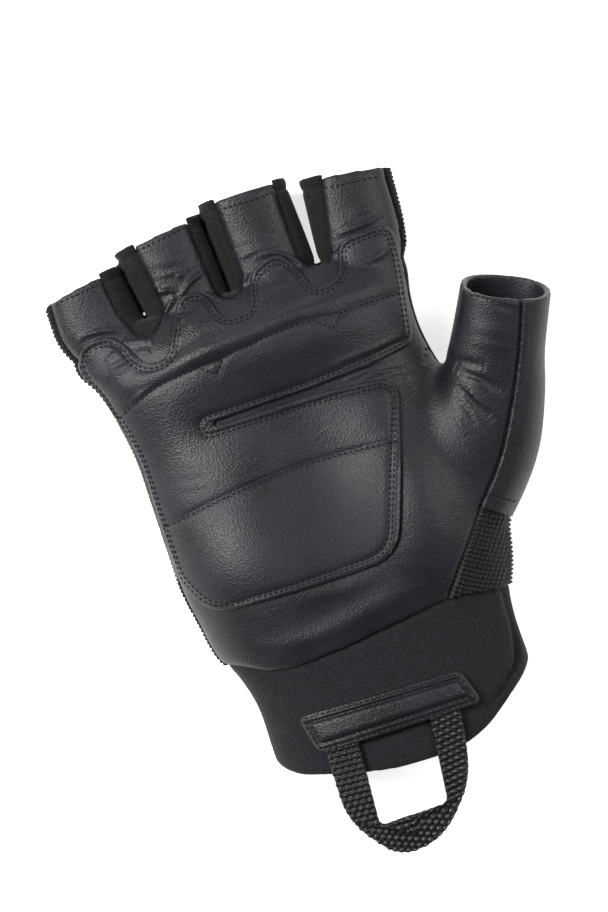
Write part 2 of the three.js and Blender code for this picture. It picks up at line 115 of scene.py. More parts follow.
CUFF_SEAM = [
    (-60, -46), (-34, -47.8), (-22, -52.8), (-8, -53.2), (16, -50.4), (33, -48.4), (48, -50.4), (90, -50),
]
THUMB_SEAM = [(82, 40), (76.9, 26.2), (70.6, 10), (64.4, -2.9), (57, -15.6), (47.6, -26.9)]
THUMB_HEEL = [(47.6, -26.9), (56.2, -32.7), (90, -50)]
GUSSET_SEAM = [(47.6, -26.9), (39, -38), (31, -48.4)]
UNDER_THUMB = [(50, 0), (50, -31), (56.2, -35), (90, -52), (90, 60), (58, 60), (58, 16)]
STRIPS = {
    # strip between two fingers: y, left and right, from its rounded foot up past the hems
    "little_ring": [
        (48.8, -27.4, -25), (50.2, -29.8, -22.6), (53.2, -31, -20.6), (57.4, -33.1, -20.6),
        (90, -37.5, -24.6),
    ],
    "ring_middle": [(52, -2.2, 0.9), (53.2, -3.6, 2.6), (57.2, -4.5, 3.7), (90, -7.4, 2.8)],
    "middle_index": [(52.8, 25, 28.2), (54.3, 23.4, 29.6), (57.3, 21.2, 30.2), (90, 20.4, 37.6)],
}


def along(table, places):
    """The other columns of a table at places along its first, on a smooth line."""
    table = np.asarray(table, float)
    places = np.atleast_1d(places)
    key, last = table[:, 0], len(table) - 1
    i = np.clip(np.searchsorted(key, places, side="right") - 1, 0, last - 1)
    start, end = table[i], table[i + 1]
    before, after = table[np.maximum(i - 1, 0)], table[np.minimum(i + 2, last)]
    span = end[:, :1] - start[:, :1]
    slope_in = (end - before) / (end[:, :1] - before[:, :1]) * span
    slope_out = (after - start) / (after[:, :1] - start[:, :1]) * span
    t = (places[:, None] - start[:, :1]) / span
    rows = (2 * t**3 - 3 * t**2 + 1) * start + (t**3 - 2 * t**2 + t) * slope_in
    rows = rows + (3 * t**2 - 2 * t**3) * end + (t**3 - t**2) * slope_out
    return rows[:, 1:]


def squared(value, power):
    """A sine or cosine made squarer, for a section between an ellipse and a box."""
    return np.sign(value) * np.abs(value) ** power


def solid(points, faces):
    """A closed working mesh in millimetres, its faces turned outwards."""
    points = np.asarray(points, float)
    corners = np.array([(f[0], f[i], f[i + 1]) for f in faces for i in range(1, len(f) - 1)])
    a, b, c = points[corners].transpose(1, 0, 2)
    if np.sum(a * np.cross(b, c)) < 0:
        faces = [f[::-1] for f in faces]
    mesh = bpy.data.meshes.new("work")
    mesh.from_pydata(points.tolist(), [], faces)
    obj = bpy.data.objects.new("work", mesh)
    bpy.context.scene.collection.objects.link(obj)
    return obj


def skinned(rings):
    """A closed skin over rings of points, with a fan over each end."""
    rings = np.asarray(rings)
    count, around, _ = rings.shape
    points = np.vstack([rings.reshape(-1, 3), rings[0].mean(0), rings[-1].mean(0)])
    i = np.arange(around)
    j = (i + 1) % around
    rows = np.arange(count - 1)[:, None] * around
    quads = np.stack([rows + i, rows + j, rows + around + j, rows + around + i], -1).reshape(-1, 4)
    top = (count - 1) * around
    first = np.stack([np.full(around, count * around), j, i], -1)
    last = np.stack([np.full(around, count * around + 1), top + i, top + j], -1)
    return solid(points, [*quads.tolist(), *first.tolist(), *last.tolist()])


def palm_skin(y_from, y_to, inset=0.0, step=1.6, around=140):
    """The palm and the wrist as one closed skin, smaller all round by an inset."""
    places = np.linspace(y_from, y_to, int((y_to - y_from) / step) + 1)
    angle = np.linspace(0, 2 * math.pi, around, endpoint=False)
    cos, sin = np.cos(angle), np.sin(angle)
    top = sin > 0
    power = np.where(top, 2 / TOP_SQUARENESS, 2 / UNDER_SQUARENESS)
    rings = []
    for y, (left, right, crown, widest) in zip(places, along(PALM, places)):
        x = (left + right) / 2 + ((right - left) / 2 - inset) * squared(cos, power)
        lift = 0
        for mound_x, mound_y, across, length, rise in MOUNDS:
            lift = lift + rise * np.exp(-(((x - mound_x) / across) ** 2) - ((y - mound_y) / length) ** 2)
        rise = np.where(top, crown - widest - inset + lift, widest - inset)
        rings.append(np.stack([x, np.full_like(x, y), widest + rise * squared(sin, power)], -1))
    return skinned(rings)


def stall_ring(centre, across, up, half, half_height, around=72):
    """One ring of a stall or of the thumb."""
    angle = np.linspace(0, 2 * math.pi, around, endpoint=False)[:, None]
    side = squared(np.cos(angle), 2 / TOP_SQUARENESS) * half * across
    return centre + side + squared(np.sin(angle), 2 / TOP_SQUARENESS) * half_height * up


def stall_skin(finger, inset=0.0, past=0.0, step=1.2):
    """A finger stall as a closed skin, smaller by an inset, that may run past its hem."""
    rows, turn = STALLS[finger]
    start, hem = rows[0][0], rows[-1][0]
    rings = []
    for y in np.linspace(start, hem + past, int((hem + past - start) / step)):
        left, right = along(rows, y)[0]
        t = (y - start) / (hem - start)
        slope = math.tan(math.radians(turn * min(t, 1)))
        centre = np.array([(left + right) / 2, y, STALL_HALF_HEIGHT - t])
        across, up = np.array([1, slope, 0]), np.array([0, 0, 1])
        half_height = STALL_HALF_HEIGHT - t - inset
        rings.append(stall_ring(centre, across, up, (right - left) / 2 - inset, half_height))
    return skinned(rings)


def thumb_facing(degrees):
    """The directions across the thumb and up from it, where it leans by some degrees."""
    lean = math.radians(degrees)
    across = np.array([math.cos(lean), -math.sin(lean), 0])
    lift = math.sin(THUMB_PITCH)
    return across, np.array([-math.sin(lean) * lift, -math.cos(lean) * lift, math.cos(THUMB_PITCH)])


def thumb_skin(past=9.0):
    """The thumb as a closed skin, a little longer than its hem."""
    rings = []
    for x, y, z, lean, half, height in along(THUMB, np.linspace(0, THUMB[-1, 0], 42)):
        across, up = thumb_facing(lean)
        rings.append(stall_ring(np.array([x, y, z]), across, up, half, height))
    rings += [rings[-1] + np.cross(up, across) * d for d in np.linspace(1, past, 8)]
    return skinned(rings)


def settled(obj):
    """Applies an object's modifiers."""
    mesh = bpy.data.meshes.new_from_object(obj.evaluated_get(bpy.context.evaluated_depsgraph_get()))
    obj.modifiers.clear()
    obj.data = mesh
    return obj


def copied(obj):
    twin = bpy.data.objects.new("work", obj.data.copy())
    bpy.context.scene.collection.objects.link(twin)
    return twin


def cut(obj, operation, *tools):
    """Joins copies of tools to a copy of an object, takes them off it, or keeps what they share."""
    obj = copied(obj)
    for tool in tools:
        step = obj.modifiers.new("cut", "BOOLEAN")
        step.operation, step.solver, step.object = operation, "MANIFOLD", tool
    return settled(obj)


def remeshed(obj, voxel):
    step = obj.modifiers.new("remesh", "REMESH")
    step.mode, step.voxel_size = "VOXEL", voxel
    return settled(obj)


def points_of(obj):
    flat = np.empty(len(obj.data.vertices) * 3)
    obj.data.vertices.foreach_get("co", flat)
    return flat.reshape(-1, 3)


def normals_of(obj):
    flat = np.empty(len(obj.data.vertices) * 3)
    obj.data.vertex_normals.foreach_get("vector", flat)
    return flat.reshape(-1, 3)


def moved(obj, points):
    obj.data.vertices.foreach_set("co", np.asarray(points, float).ravel())
    obj.data.update()
    return obj


def relaxed(obj, times, share=0.5):
    """Smooths a mesh by drawing each point towards its neighbours."""
    points = points_of(obj)
    edges = np.empty(len(obj.data.edges) * 2, int)
    obj.data.edges.foreach_get("vertices", edges)
    a, b = edges.reshape(-1, 2).T
    count = np.bincount(a, minlength=len(points)) + np.bincount(b, minlength=len(points))
    share = np.broadcast_to(np.asarray(share, float), (len(points),))[:, None]
    for _ in range(times):
        sums = []
        for axis in range(3):
            beside_a = np.bincount(a, points[b, axis], len(points))
            beside_b = np.bincount(b, points[a, axis], len(points))
            sums.append(beside_a + beside_b)
        points = points + share * (np.stack(sums, -1) / np.maximum(count, 1)[:, None] - points)
    return moved(obj, points)


def swollen(obj, distance):
    """A copy moved outwards along its own skin, or inwards, with its folds melted away."""
    twin = copied(obj)
    moved(twin, points_of(twin) + normals_of(twin) * distance)
    return relaxed(remeshed(twin, voxel=1.0), times=3)


def smooth_line(points, step=1.0):
    """A smooth line through a few points, with a point every step."""
    points = np.asarray(points, float)
    key = np.concatenate([[0], np.cumsum(np.linalg.norm(np.diff(points, axis=0), axis=1))])
    count = max(int(key[-1] / step), len(points))
    return along(np.column_stack([key, points]), np.linspace(0, key[-1], count + 1))


def widened(outline, distance):
    """An outline moved outwards."""
    outline = np.asarray(outline, float)[:, :2]
    ahead = np.roll(outline, -1, 0)
    area = np.sum(outline[:, 0] * ahead[:, 1] - ahead[:, 0] * outline[:, 1])
    before, after = outline - np.roll(outline, 1, 0), ahead - outline
    before = before / np.linalg.norm(before, axis=1, keepdims=True)
    after = after / np.linalg.norm(after, axis=1, keepdims=True)
    mean = before + after
    mean = mean / np.linalg.norm(mean, axis=1, keepdims=True)
    reach = (distance if area > 0 else -distance) / np.maximum((mean * after).sum(1, keepdims=True), 0.4)
    return outline + np.column_stack([mean[:, 1], -mean[:, 0]]) * reach


def prism(outline, low=-20.0, high=90.0, margin=0.0):
    """Everything inside an outline seen from above and between two heights."""
    flat = widened(outline, margin)
    n = len(flat)
    low, high = np.full(n, low - margin), np.full(n, high + margin)
    points = np.vstack([np.column_stack([flat, low]), np.column_stack([flat, high])])
    ahead = np.roll(flat, -1, 0)
    left = np.sum(flat[:, 0] * ahead[:, 1] - ahead[:, 0] * flat[:, 1]) > 0
    faces = [(i, (i + 1) % n, n + (i + 1) % n, n + i)[:: 1 if left else -1] for i in range(n)]
    for a, b, c in tessellate_polygon([[Vector((x, y, 0)) for x, y in flat]]):
        turn = np.cross(flat[b] - flat[a], flat[c] - flat[a])
        faces += [(a, c, b), (n + a, n + b, n + c)] if turn > 0 else [(a, b, c), (n + a, n + c, n + b)]
    return solid(points, faces)


def block(middle, up, lift, reach):
    """A block whose lower face is a slanted plane."""
    side = np.cross(up, [0.0, 1.0, 0.0])
    side = side / np.linalg.norm(side) * reach
    ahead = np.cross(up, side)
    corners = ((-1, -1), (1, -1), (1, 1), (-1, 1))
    low = [np.asarray(middle) + up * lift + side * a + ahead * b for a, b in corners]
    faces = [(3, 2, 1, 0), (4, 5, 6, 7), *[(i, (i + 1) % 4, (i + 1) % 4 + 4, i + 4) for i in range(4)]]
    return solid(low + [p + up * reach * 2 for p in low], faces)


def strip_outline(name):
    """Up its left edge and down its right one."""
    left_edge = [(left, y) for y, left, right in STRIPS[name]]
    right_edge = [(right, y) for y, left, right in STRIPS[name]]
    return left_edge + right_edge[::-1]


def strip_place(name, margin, foot=6):
    """Where a knit strip goes, wider below the side seams, where it meets the back."""
    outline = strip_outline(name)
    above = prism(outline, foot, 90, margin)
    return cut(above, "UNION", prism(widened(outline, 3), foot, SIDE_SEAM, margin))


def thumb_place(margin):
    """Where the outer half of the thumb goes."""
    outside = prism([*smooth_line(THUMB_SEAM), *THUMB_HEEL[1:], (90, 40)], margin=margin)
    across, up = thumb_facing(THUMB[3, 4])
    under = cut(prism(UNDER_THUMB, margin=margin), "DIFFERENCE", block(THUMB[3, 1:4], up, margin, 150))
    return cut(outside, "UNION", under)


def gusset_place(margin):
    """Where the nubbly wedge goes."""
    outline = [*smooth_line(GUSSET_SEAM), (31, -60), (90, -60), *THUMB_HEEL[::-1][:-1]]
    return prism(outline, SIDE_SEAM, 90, margin)


def distance_to(points, line):
    """How far each point is from a line, both seen from above."""
    points, line = points[:, :2], np.asarray(line, float)[:, :2]
    best = np.full(len(points), 1e9)
    for start, end in zip(line[:-1], line[1:]):
        run = end - start
        t = np.clip((points - start) @ run / (run @ run), 0, 1)
        best = np.minimum(best, np.hypot(*(points - start - t[:, None] * run).T))
    return best


def near(distance, reach, middle=0.0):
    """1 at a line, or at a distance from it, and less and less beyond its reach."""
    return np.exp(-(((distance - middle) / reach) ** 2))


# The worn form: palm and thumb flow into each other, and the stalls stand in the palm. The leather
# is drawn smooth where the thumb's root meets the palm.
THUMB_WEB = [(44, 10), (42.3, 1), (43.5, -12), (46, -24.5)]
WEB_REACH = 7.0
WEB_LOW = 14
STRETCH = 0.25
LONGER = 9
filled = cut(palm_skin(-62, PALM[-1, 0]), "UNION", thumb_skin(past=LONGER))
filled = relaxed(remeshed(filled, voxel=1.0), times=14)
places = points_of(filled)
in_web = near(distance_to(places, THUMB_WEB), WEB_REACH) * (places[:, 2] > WEB_LOW)
relaxed(filled, times=70, share=0.5 * in_web)
moved(filled, points_of(filled) + normals_of(filled) * STRETCH)
hem_across, hem_up = thumb_facing(THUMB[-1, 4])
beyond_hem = block(THUMB[-1, 1:4], np.cross(hem_up, hem_across), lift=0, reach=17)
outer = cut(cut(filled, "UNION", *[stall_skin(name) for name in STALLS]), "DIFFERENCE", beyond_hem)
inner = cut(swollen(filled, -WALL), "UNION", *[stall_skin(name, WALL, LONGER) for name in STALLS])
form = cut(filled, "UNION", *[stall_skin(name, past=LONGER) for name in STALLS])
skin = BVHTree.FromObject(form, bpy.context.evaluated_depsgraph_get())

EVERYWHERE = [(-90, -130), (120, -130), (120, 110), (-90, 110)]
ABOVE_CUFF = [*smooth_line(CUFF_SEAM), (90, 110), (-70, 110)]
walls = cut(outer, "DIFFERENCE", inner)
walls = cut(walls, "INTERSECT", prism(EVERYWHERE, low=TABLE), prism(ABOVE_CUFF))
# The palm leather and the back should stop at the thumb's seam. As made here, both still run on
# under the outer half of the thumb, as a second layer in the same place.
beside_thumb = cut(walls, "DIFFERENCE", thumb_place(LAPPED_SEAM))
gaps = [gusset_place(CLOSED_SEAM), *[strip_place(name, CLOSED_SEAM) for name in STRIPS]]
panels = cut(beside_thumb, "DIFFERENCE", *gaps)


def raised(points, line, width, height):
    """A ridge along a line that dies away at its ends, or a groove where its height is negative."""
    line = smooth_line(line, step=1.5)
    low, high = line.min(0) - 3 * width, line.max(0) + 3 * width
    close = np.all((points[:, :2] > low) & (points[:, :2] < high), axis=1)
    apart = np.hypot(*(points[close, None, :2] - line).transpose(2, 0, 1))
    along_line = np.argmin(apart, axis=1) / (len(line) - 1)
    fading = np.sin(math.pi * along_line)
    result = np.zeros(len(points))
    result[close] = height * fading * near(distance_to(points[close], line), width)
    return result


def on_skin(obj, tree=skin):
    """Each point, the nearest place on the form, which way that faces, and how far out the point is."""
    points = points_of(obj)
    found = [tree.find_nearest(p) for p in points.tolist()]
    feet, facing = np.array([f[0] for f in found]), np.array([f[1] for f in found])
    return points, feet, facing, np.sum((points - feet) * facing, axis=1)


def shaped(obj, relief, tree=skin):
    """Raises the outer side of a wall by a relief, and leaves its inner side."""
    points, feet, facing, height = on_skin(obj, tree)
    outside = np.clip((height + WALL) / WALL, 0, 1)
    outside = outside**2 * (3 - 2 * outside)
    return moved(obj, points + facing * (outside * relief(feet))[:, None])


# Creases, folds and soft rolls of the worn leather: width, height, then places along each.
CREASES = [
    (0.72, 0.73, [(-47, 53.2), (-45, 54.3), (-42, 54.6), (-38, 54.1), (-35, 53.3), (-32, 52.2)]),
    (0.84, 0.73, [(-34.5, 50.2), (-33.0, 49.0), (-31.0, 48.1), (-28.0, 47.5), (-25.0, 46.4)]),
    (0.72, 0.36, [(-31.6, 46.0), (-29.4, 44.7), (-26.6, 44.4)]),
    (0.66, 0.91, [(-24.3, 48.3), (-22.5, 50.5), (-21, 52.2), (-19, 54.5), (-17, 56.6), (-15.7, 58.3)]),
    (0.66, 0.82, [(-15.4, 57.6), (-16.0, 59.0), (-18.0, 59.7), (-21.0, 59.9)]),
    (0.72, 0.91, [(-15.2, 56.4), (-13.5, 57.5), (-12.0, 58.8), (-10.0, 60.0), (-7.5, 61.0), (-5.0, 61.7)]),
    (0.66, 0.64, [(-8.2, 55.6), (-5.5, 54.0), (-4.0, 52.6), (-2.0, 51.6), (-0.8, 51.7)]),
    (0.6, 0.36, [(-21.8, 61.1), (-20.2, 61.4), (-18.6, 61.4)]),
    (0.6, 0.45, [(-14.5, 62.4), (-12.5, 62.5), (-10.5, 62.2)]),
    (0.96, 0.36, [(-21.1, 64.6), (-13.7, 63.8), (-5.5, 63.5)]),
    (2.2, 0.6, [(-22.3, 68.7), (-14.1, 67.5), (-6.1, 65.8)]),
    (1.6, 0.3, [(-20.1, 73.0), (-12.9, 72.6), (-5.4, 71.0)]),
    (0.66, 0.55, [(3.2, 53.6), (4.3, 55.0), (5.3, 57.0), (6.2, 58.0)]),
    (0.72, 0.64, [
        (8.5, 60.6), (12.0, 60.9), (15.0, 60.3), (17.0, 59.1), (19.0, 57.5), (21.0, 55.8), (22.4, 54.6),
    ]),
    (0.84, 0.45, [(3.3, 61.2), (6.0, 62.2), (11.2, 62.5), (19.6, 61.8)]),
    (0.72, 0.31, [(3.6, 64.0), (10.0, 63.9), (19.0, 63.3)]),
    (1.2, 0.36, [(3.6, 67.2), (12.0, 65.4), (19.0, 64.8)]),
    (0.66, 0.45, [(30.2, 55.2), (32.0, 56.0), (34.0, 57.2)]),
    (0.84, 0.73, [
        (31.4, 58.8), (34.0, 59.7), (37.0, 60.0), (40.0, 60.1), (43.0, 60.3), (46.0, 60.9), (48.5, 61.6),
    ]),
    (0.72, 0.27, [(31.8, 61.2), (35.9, 61.9), (40.9, 62.6)]),
    (0.96, 0.27, [(38.0, 64.2), (42.0, 64.0), (47.0, 64.8)]),
    (0.66, 0.42, [(22.0, 19.3), (27.0, 19.8), (32.0, 20.2), (38.0, 20.6)]),
    (0.66, 0.42, [(26.0, 18.0), (31.0, 18.5), (36.0, 18.0), (41.0, 17.2)]),
    (0.6, 0.31, [(33.0, 16.6), (37.0, 15.8), (42.0, 14.8)]),
    (1.2, -0.82, [(52.0, 13.5), (54.5, 11.6), (57.0, 9.0), (60.0, 6.5), (62.0, 4.5), (64.5, 1.0)]),
    (0.84, 0.45, [(55.0, 9.9), (56.7, 8.1), (58.5, 6.6), (61.0, 4.4)]),
    (1.2, -0.73, [(51.5, 8.5), (54.0, 4.0), (56.0, 0.2), (58.0, -3.5), (58.6, -5.5)]),
    (0.84, 0.45, [(54.0, 7.2), (55.5, 4.0), (57.0, 1.0), (58.5, -1.5)]),
    (0.96, -0.45, [(50.5, 6.0), (52.0, 2.5), (53.2, -1.5), (53.8, -4.5)]),
    (0.96, 0.31, [(49.3, 1.5), (49.8, -3.0), (50.6, -6.5)]),
    (1.6, -0.6, [(50.5, 17.0), (56.2, 13.4), (62.1, 10.4)]),
    (1.8, 0.3, [(59.4, 22.9), (67.6, 18.9), (73.3, 15.5)]),
    (1.8, 0.3, [(58.3, 19.7), (66.4, 15.1), (72.1, 11.8)]),
    (0.72, -0.36, [(67.0, 29.2), (69.0, 26.4), (71.5, 24.2), (74.5, 22.6)]),
    (0.84, -0.64, [(48.1, 21.7), (47.2, 19.2), (45.1, 16.5)]),
    (3.0, 0.9, [(-30.0, -43.0), (-18.0, -46.5), (-4.0, -46.5), (14.0, -43.5), (28.0, -42.0)]),
    (2.0, 0.4, [(-12.8, -34.4), (4.0, -36.3), (16.1, -35.0)]),
]


def closed(outline):
    """An outline as a line that comes back to its start."""
    return [*outline, outline[0]]


def worn(feet, creases):
    """All the ridges and grooves of a list together."""
    return sum(raised(feet, line, width, height) for width, height, line in creases)


def palm_relief(feet):
    """Creases, and the leather drawn down at its seams and turned under at the sides."""
    relief = worn(feet, CREASES)
    relief -= 0.3 * near(distance_to(feet, smooth_line(CUFF_SEAM)), 0.8)
    relief -= 1.2 * np.exp(-((distance_to(feet, smooth_line(THUMB_SEAM)) / 0.6) ** 4))
    relief -= 0.4 * near(distance_to(feet, smooth_line(GUSSET_SEAM)), 0.8)
    relief -= 0.5 * np.clip((SIDE_SEAM + 3.5 - feet[:, 2]) / 3.5, 0, 1) ** 2
    for name in STRIPS:
        relief -= 0.35 * near(distance_to(feet, closed(strip_outline(name))), 0.7)
    return relief


def finer(obj, chosen):
    """Splits the faces between the chosen points of a mesh into four."""
    mesh = bmesh.new()
    mesh.from_mesh(obj.data)
    edges = {edge for face in mesh.faces if all(chosen[v.index] for v in face.verts) for edge in face.edges}
    bmesh.ops.subdivide_edges(mesh, edges=sorted(edges, key=lambda e: e.index), cuts=1, use_grid_fill=True)
    mesh.to_mesh(obj.data)
    mesh.free()
    return obj


palm = cut(panels, "INTERSECT", prism(EVERYWHERE, low=SIDE_SEAM))
palm = relaxed(remeshed(palm, voxel=0.82), times=3)
points, feet, facing, height = on_skin(palm)
x, y = feet[:, 0], feet[:, 1]
below_fingers = (y > 41) & (y < 66)
in_slit = (y > 13) & (y < 22) & (x > 10) & (x < 46)
thumb_root = (x > 46) & (y > -9) & (y < 31)
thumb_seam = distance_to(feet, smooth_line(THUMB_SEAM)) < 2.0
creased = (height > -0.5) & (below_fingers | in_slit | thumb_root | thumb_seam)
palm = relaxed(finer(palm, creased), times=1)
shaped(palm, palm_relief)


def nodes_for(name, colour, roughness, sheen=0.0):
    """A new material with its shader, and a maker of further nodes."""
    material = bpy.data.materials.new(name)
    material.use_nodes = True
    tree = material.node_tree
    shader = tree.nodes["Principled BSDF"]
    shader.inputs["Base Color"].default_value = (*colour, 1)
    shader.inputs["Roughness"].default_value = roughness
    shader.inputs["Sheen Weight"].default_value = sheen

    def node(kind, **values):
        made = tree.nodes.new(kind)
        for key, value in values.items():
            if key in made.inputs:
                made.inputs[key].default_value = value
            else:
                setattr(made, key, value)
        return made

    return material, shader, node, tree.links.new


def embossed(height, strength, depth, shader, node, link):
    """Lets a pattern stand up from the surface."""
    bump = node("ShaderNodeBump", Strength=strength, Distance=depth)
    link(height, bump.inputs["Height"])
    link(bump.outputs["Normal"], shader.inputs["Normal"])
    return bump


def toned(share, colour, darkest, lightest, shader, node, link):
    """Lets the colour run from a darker to a lighter one, as a pattern goes from 0 to 1."""
    tone = node("ShaderNodeMix", data_type="RGBA")
    tone.inputs["A"].default_value = (*[c * darkest for c in colour], 1)
    tone.inputs["B"].default_value = (*[c * lightest for c in colour], 1)
    link(share, tone.inputs["Factor"])
    link(tone.outputs["Result"], shader.inputs["Base Color"])


def added(first, share, second, node, link):
    """A share of one pattern on top of another."""
    total = node("ShaderNodeMath", operation="MULTIPLY_ADD")
    link(first, total.inputs[0])
    total.inputs[1].default_value = share
    link(second, total.inputs[2])
    return total.outputs[0]


WRINKLES_PER_METRE = (130, 620, 260)
GRAIN_IN_HEIGHT = 0.9
GRAIN_IN_TONE = 0.6
LEATHER_SHINE = 0.38
RUBBED_MATT = 0.2       # how much duller the leather is where it is rubbed
RUBBED_INNER = 0.006    # all of it within this distance of the middle
RUBBED_OUTER = 0.026    # and none beyond this one


def leather(name, colour, roughness, rubbed=None):
    """Smooth black leather: fine pores, faint wrinkles across the palm, and softer, duller patches."""
    material, shader, node, link = nodes_for(name, colour, roughness)
    shader.inputs["Specular IOR Level"].default_value = LEATHER_SHINE
    place = node("ShaderNodeTexCoord").outputs["Object"]
    pores = node("ShaderNodeTexVoronoi", Scale=1850.0, Randomness=1.0)
    grain = node("ShaderNodeTexNoise", Scale=1600.0, Detail=3.0, Roughness=0.65)
    patches = node("ShaderNodeTexNoise", Scale=60.0, Detail=3.0, Roughness=0.5)
    across = node("ShaderNodeMapping", vector_type="POINT")
    across.inputs["Scale"].default_value = WRINKLES_PER_METRE
    wrinkles = node("ShaderNodeTexNoise", Scale=1.0, Detail=2.0, Roughness=0.5, Distortion=0.4)
    link(place, across.inputs["Vector"])
    link(across.outputs["Vector"], wrinkles.inputs["Vector"])
    for texture in (pores, grain, patches):
        link(place, texture.inputs["Vector"])
    height = added(grain.outputs["Fac"], GRAIN_IN_HEIGHT, pores.outputs["Distance"], node, link)
    lines = node("ShaderNodeMapRange", **{"From Min": 0.42, "From Max": 0.62})
    link(wrinkles.outputs["Fac"], lines.inputs["Value"])
    wrinkled = node("ShaderNodeBump", Strength=0.5, Distance=0.00003)
    link(lines.outputs["Result"], wrinkled.inputs["Height"])
    bump = embossed(height, 0.6, 0.00016, shader, node, link)
    link(wrinkled.outputs["Normal"], bump.inputs["Normal"])
    spread = added(grain.outputs["Fac"], GRAIN_IN_TONE, patches.outputs["Fac"], node, link)
    narrowed = node("ShaderNodeMapRange", **{"From Min": 0.55, "From Max": 1.05})
    link(spread, narrowed.inputs["Value"])
    toned(narrowed.outputs["Result"], colour, 0.6, 1.7, shader, node, link)
    dull = node("ShaderNodeMapRange", **{"From Min": 0.3, "From Max": 0.7})
    dull.inputs["To Min"].default_value = roughness - 0.05
    dull.inputs["To Max"].default_value = roughness + 0.06
    link(patches.outputs["Fac"], dull.inputs["Value"])
    link(dull.outputs["Result"], shader.inputs["Roughness"])
    if rubbed:
        away = node("ShaderNodeVectorMath", operation="DISTANCE")
        link(place, away.inputs[0])
        away.inputs[1].default_value = rubbed
        matt = node("ShaderNodeMapRange", **{"From Min": RUBBED_INNER, "From Max": RUBBED_OUTER})
        matt.inputs["To Min"].default_value = RUBBED_MATT
        matt.inputs["To Max"].default_value = 0.0
        link(away.outputs["Value"], matt.inputs["Value"])
        both = node("ShaderNodeMath", operation="ADD")
        link(dull.outputs["Result"], both.inputs[0])
        link(matt.outputs["Result"], both.inputs[1])
        link(both.outputs[0], shader.inputs["Roughness"])
    return material


palm_finish = leather("palm_leather_finish", colour=(0.0060, 0.0068, 0.0096), roughness=0.45)


def finished(obj, name, material, slot, *nodes):
    """Names a piece, brings it into the glove's frame and gives it its finish."""
    moved(obj, (points_of(obj) + PALM_TO_GLOVE) / 1000)
    obj.name = obj.data.name = name
    obj.data.materials.clear()
    obj.data.materials.append(material)
    obj.data.shade_smooth()
    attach(obj, "root")
    if nodes:
        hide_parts(*nodes)
    return obj


# Bonded black thread, its strands twisted round each other.
thread, thread_shader, thread_node, thread_link = nodes_for("black_thread", (0.003, 0.003, 0.004), 0.75)
thread_shader.inputs["Specular IOR Level"].default_value = 0.25
strands = thread_node("ShaderNodeTexWave", Scale=900.0, Distortion=1.5, bands_direction="DIAGONAL")
thread_link(thread_node("ShaderNodeTexCoord").outputs["Object"], strands.inputs["Vector"])
embossed(strands.outputs["Fac"], 0.4, 0.0001, thread_shader, thread_node, thread_link)

ABOVE = 85              # stitches are set from up here
STITCH_SIDES = 6
STITCH_PROFILE = [
    # place along a stitch, thickness there
    (-0.5, 0.35), (-0.42, 0.8), (-0.2, 1.0), (0.2, 1.0), (0.42, 0.8), (0.5, 0.35),
]


def sewn(name, lines, *cloths, pitch=1.6, length=1.15, thick=0.5, out=0.02, slot="palm_leather"):
    """A row of stitches along each line, lying on the cloth that is met first from above."""
    deps = bpy.context.evaluated_depsgraph_get()
    trees = [BVHTree.FromObject(cloth, deps) for cloth in cloths]
    angle = np.linspace(0, 2 * math.pi, STITCH_SIDES, endpoint=False)
    points, faces = [], []
    for line in lines:
        places = smooth_line(line, pitch / 8)
        gone = np.concatenate([[0], np.cumsum(np.linalg.norm(np.diff(places, axis=0), axis=1))])
        for middle in np.arange(pitch / 2, gone[-1], pitch):
            ends = []
            for offset in (-length / 2, length / 2):
                x = np.interp(middle + offset, gone, places[:, 0])
                y = np.interp(middle + offset, gone, places[:, 1])
                hits = [tree.ray_cast((x, y, ABOVE), (0, 0, -1)) for tree in trees]
                hits = [h for h in hits if h[0] is not None]
                if hits:
                    hit = max(hits, key=lambda h: h[0].z)
                    ends.append((np.array(hit[0]), np.array(hit[1])))
            if len(ends) < 2 or np.linalg.norm(ends[0][0] - ends[1][0]) > 2.2 * length:
                continue
            facing = ends[0][1] + ends[1][1]
            facing = facing / np.linalg.norm(facing)
            run = ends[1][0] - ends[0][0]
            centre = (ends[0][0] + ends[1][0]) / 2 + facing * out
            side = np.cross(facing, run)
            side = side / np.linalg.norm(side)
            start = len(points)
            for t, size in STITCH_PROFILE:
                sink = -0.9 * thick * (2 * abs(t)) ** 4 * 0.5
                for a in angle:
                    round_it = (side * math.cos(a) + facing * math.sin(a)) * thick / 2 * size
                    points.append(centre + run * t + facing * sink + round_it)
            for ring in range(len(STITCH_PROFILE) - 1):
                here = start + ring * STITCH_SIDES
                following = here + STITCH_SIDES
                for i in range(STITCH_SIDES):
                    j = (i + 1) % STITCH_SIDES
                    faces.append((here + i, here + j, following + j, following + i))
            faces.append(tuple(start + i for i in range(STITCH_SIDES - 1, -1, -1)))
            faces.append(tuple(following + i for i in range(STITCH_SIDES)))
    return finished(solid(points, faces), name, thread, slot)


# The hems of the stalls are turned in and stitched once, and the thumb's hem too.
HEM_STITCHES = [
    [(-51.0, 65.0), (-49.1, 65.6), (-42.0, 66.5), (-34.7, 67.4)],
    [(-22.6, 73.0), (-14.0, 74.0), (-5.4, 75.8)],
    [(3.0, 77.0), (12.0, 76.6), (20.0, 77.0)],
    [(32.4, 73.8), (40.0, 72.8), (50.6, 72.0)],
    [(62.8, 31.2), (65.0, 30.1), (70.0, 26.9), (74.8, 23.4)],
]
sewn("hem_stitches", HEM_STITCHES, palm)
finished(palm, "sewn_palm", palm_finish, "palm_leather", "palm_leather")

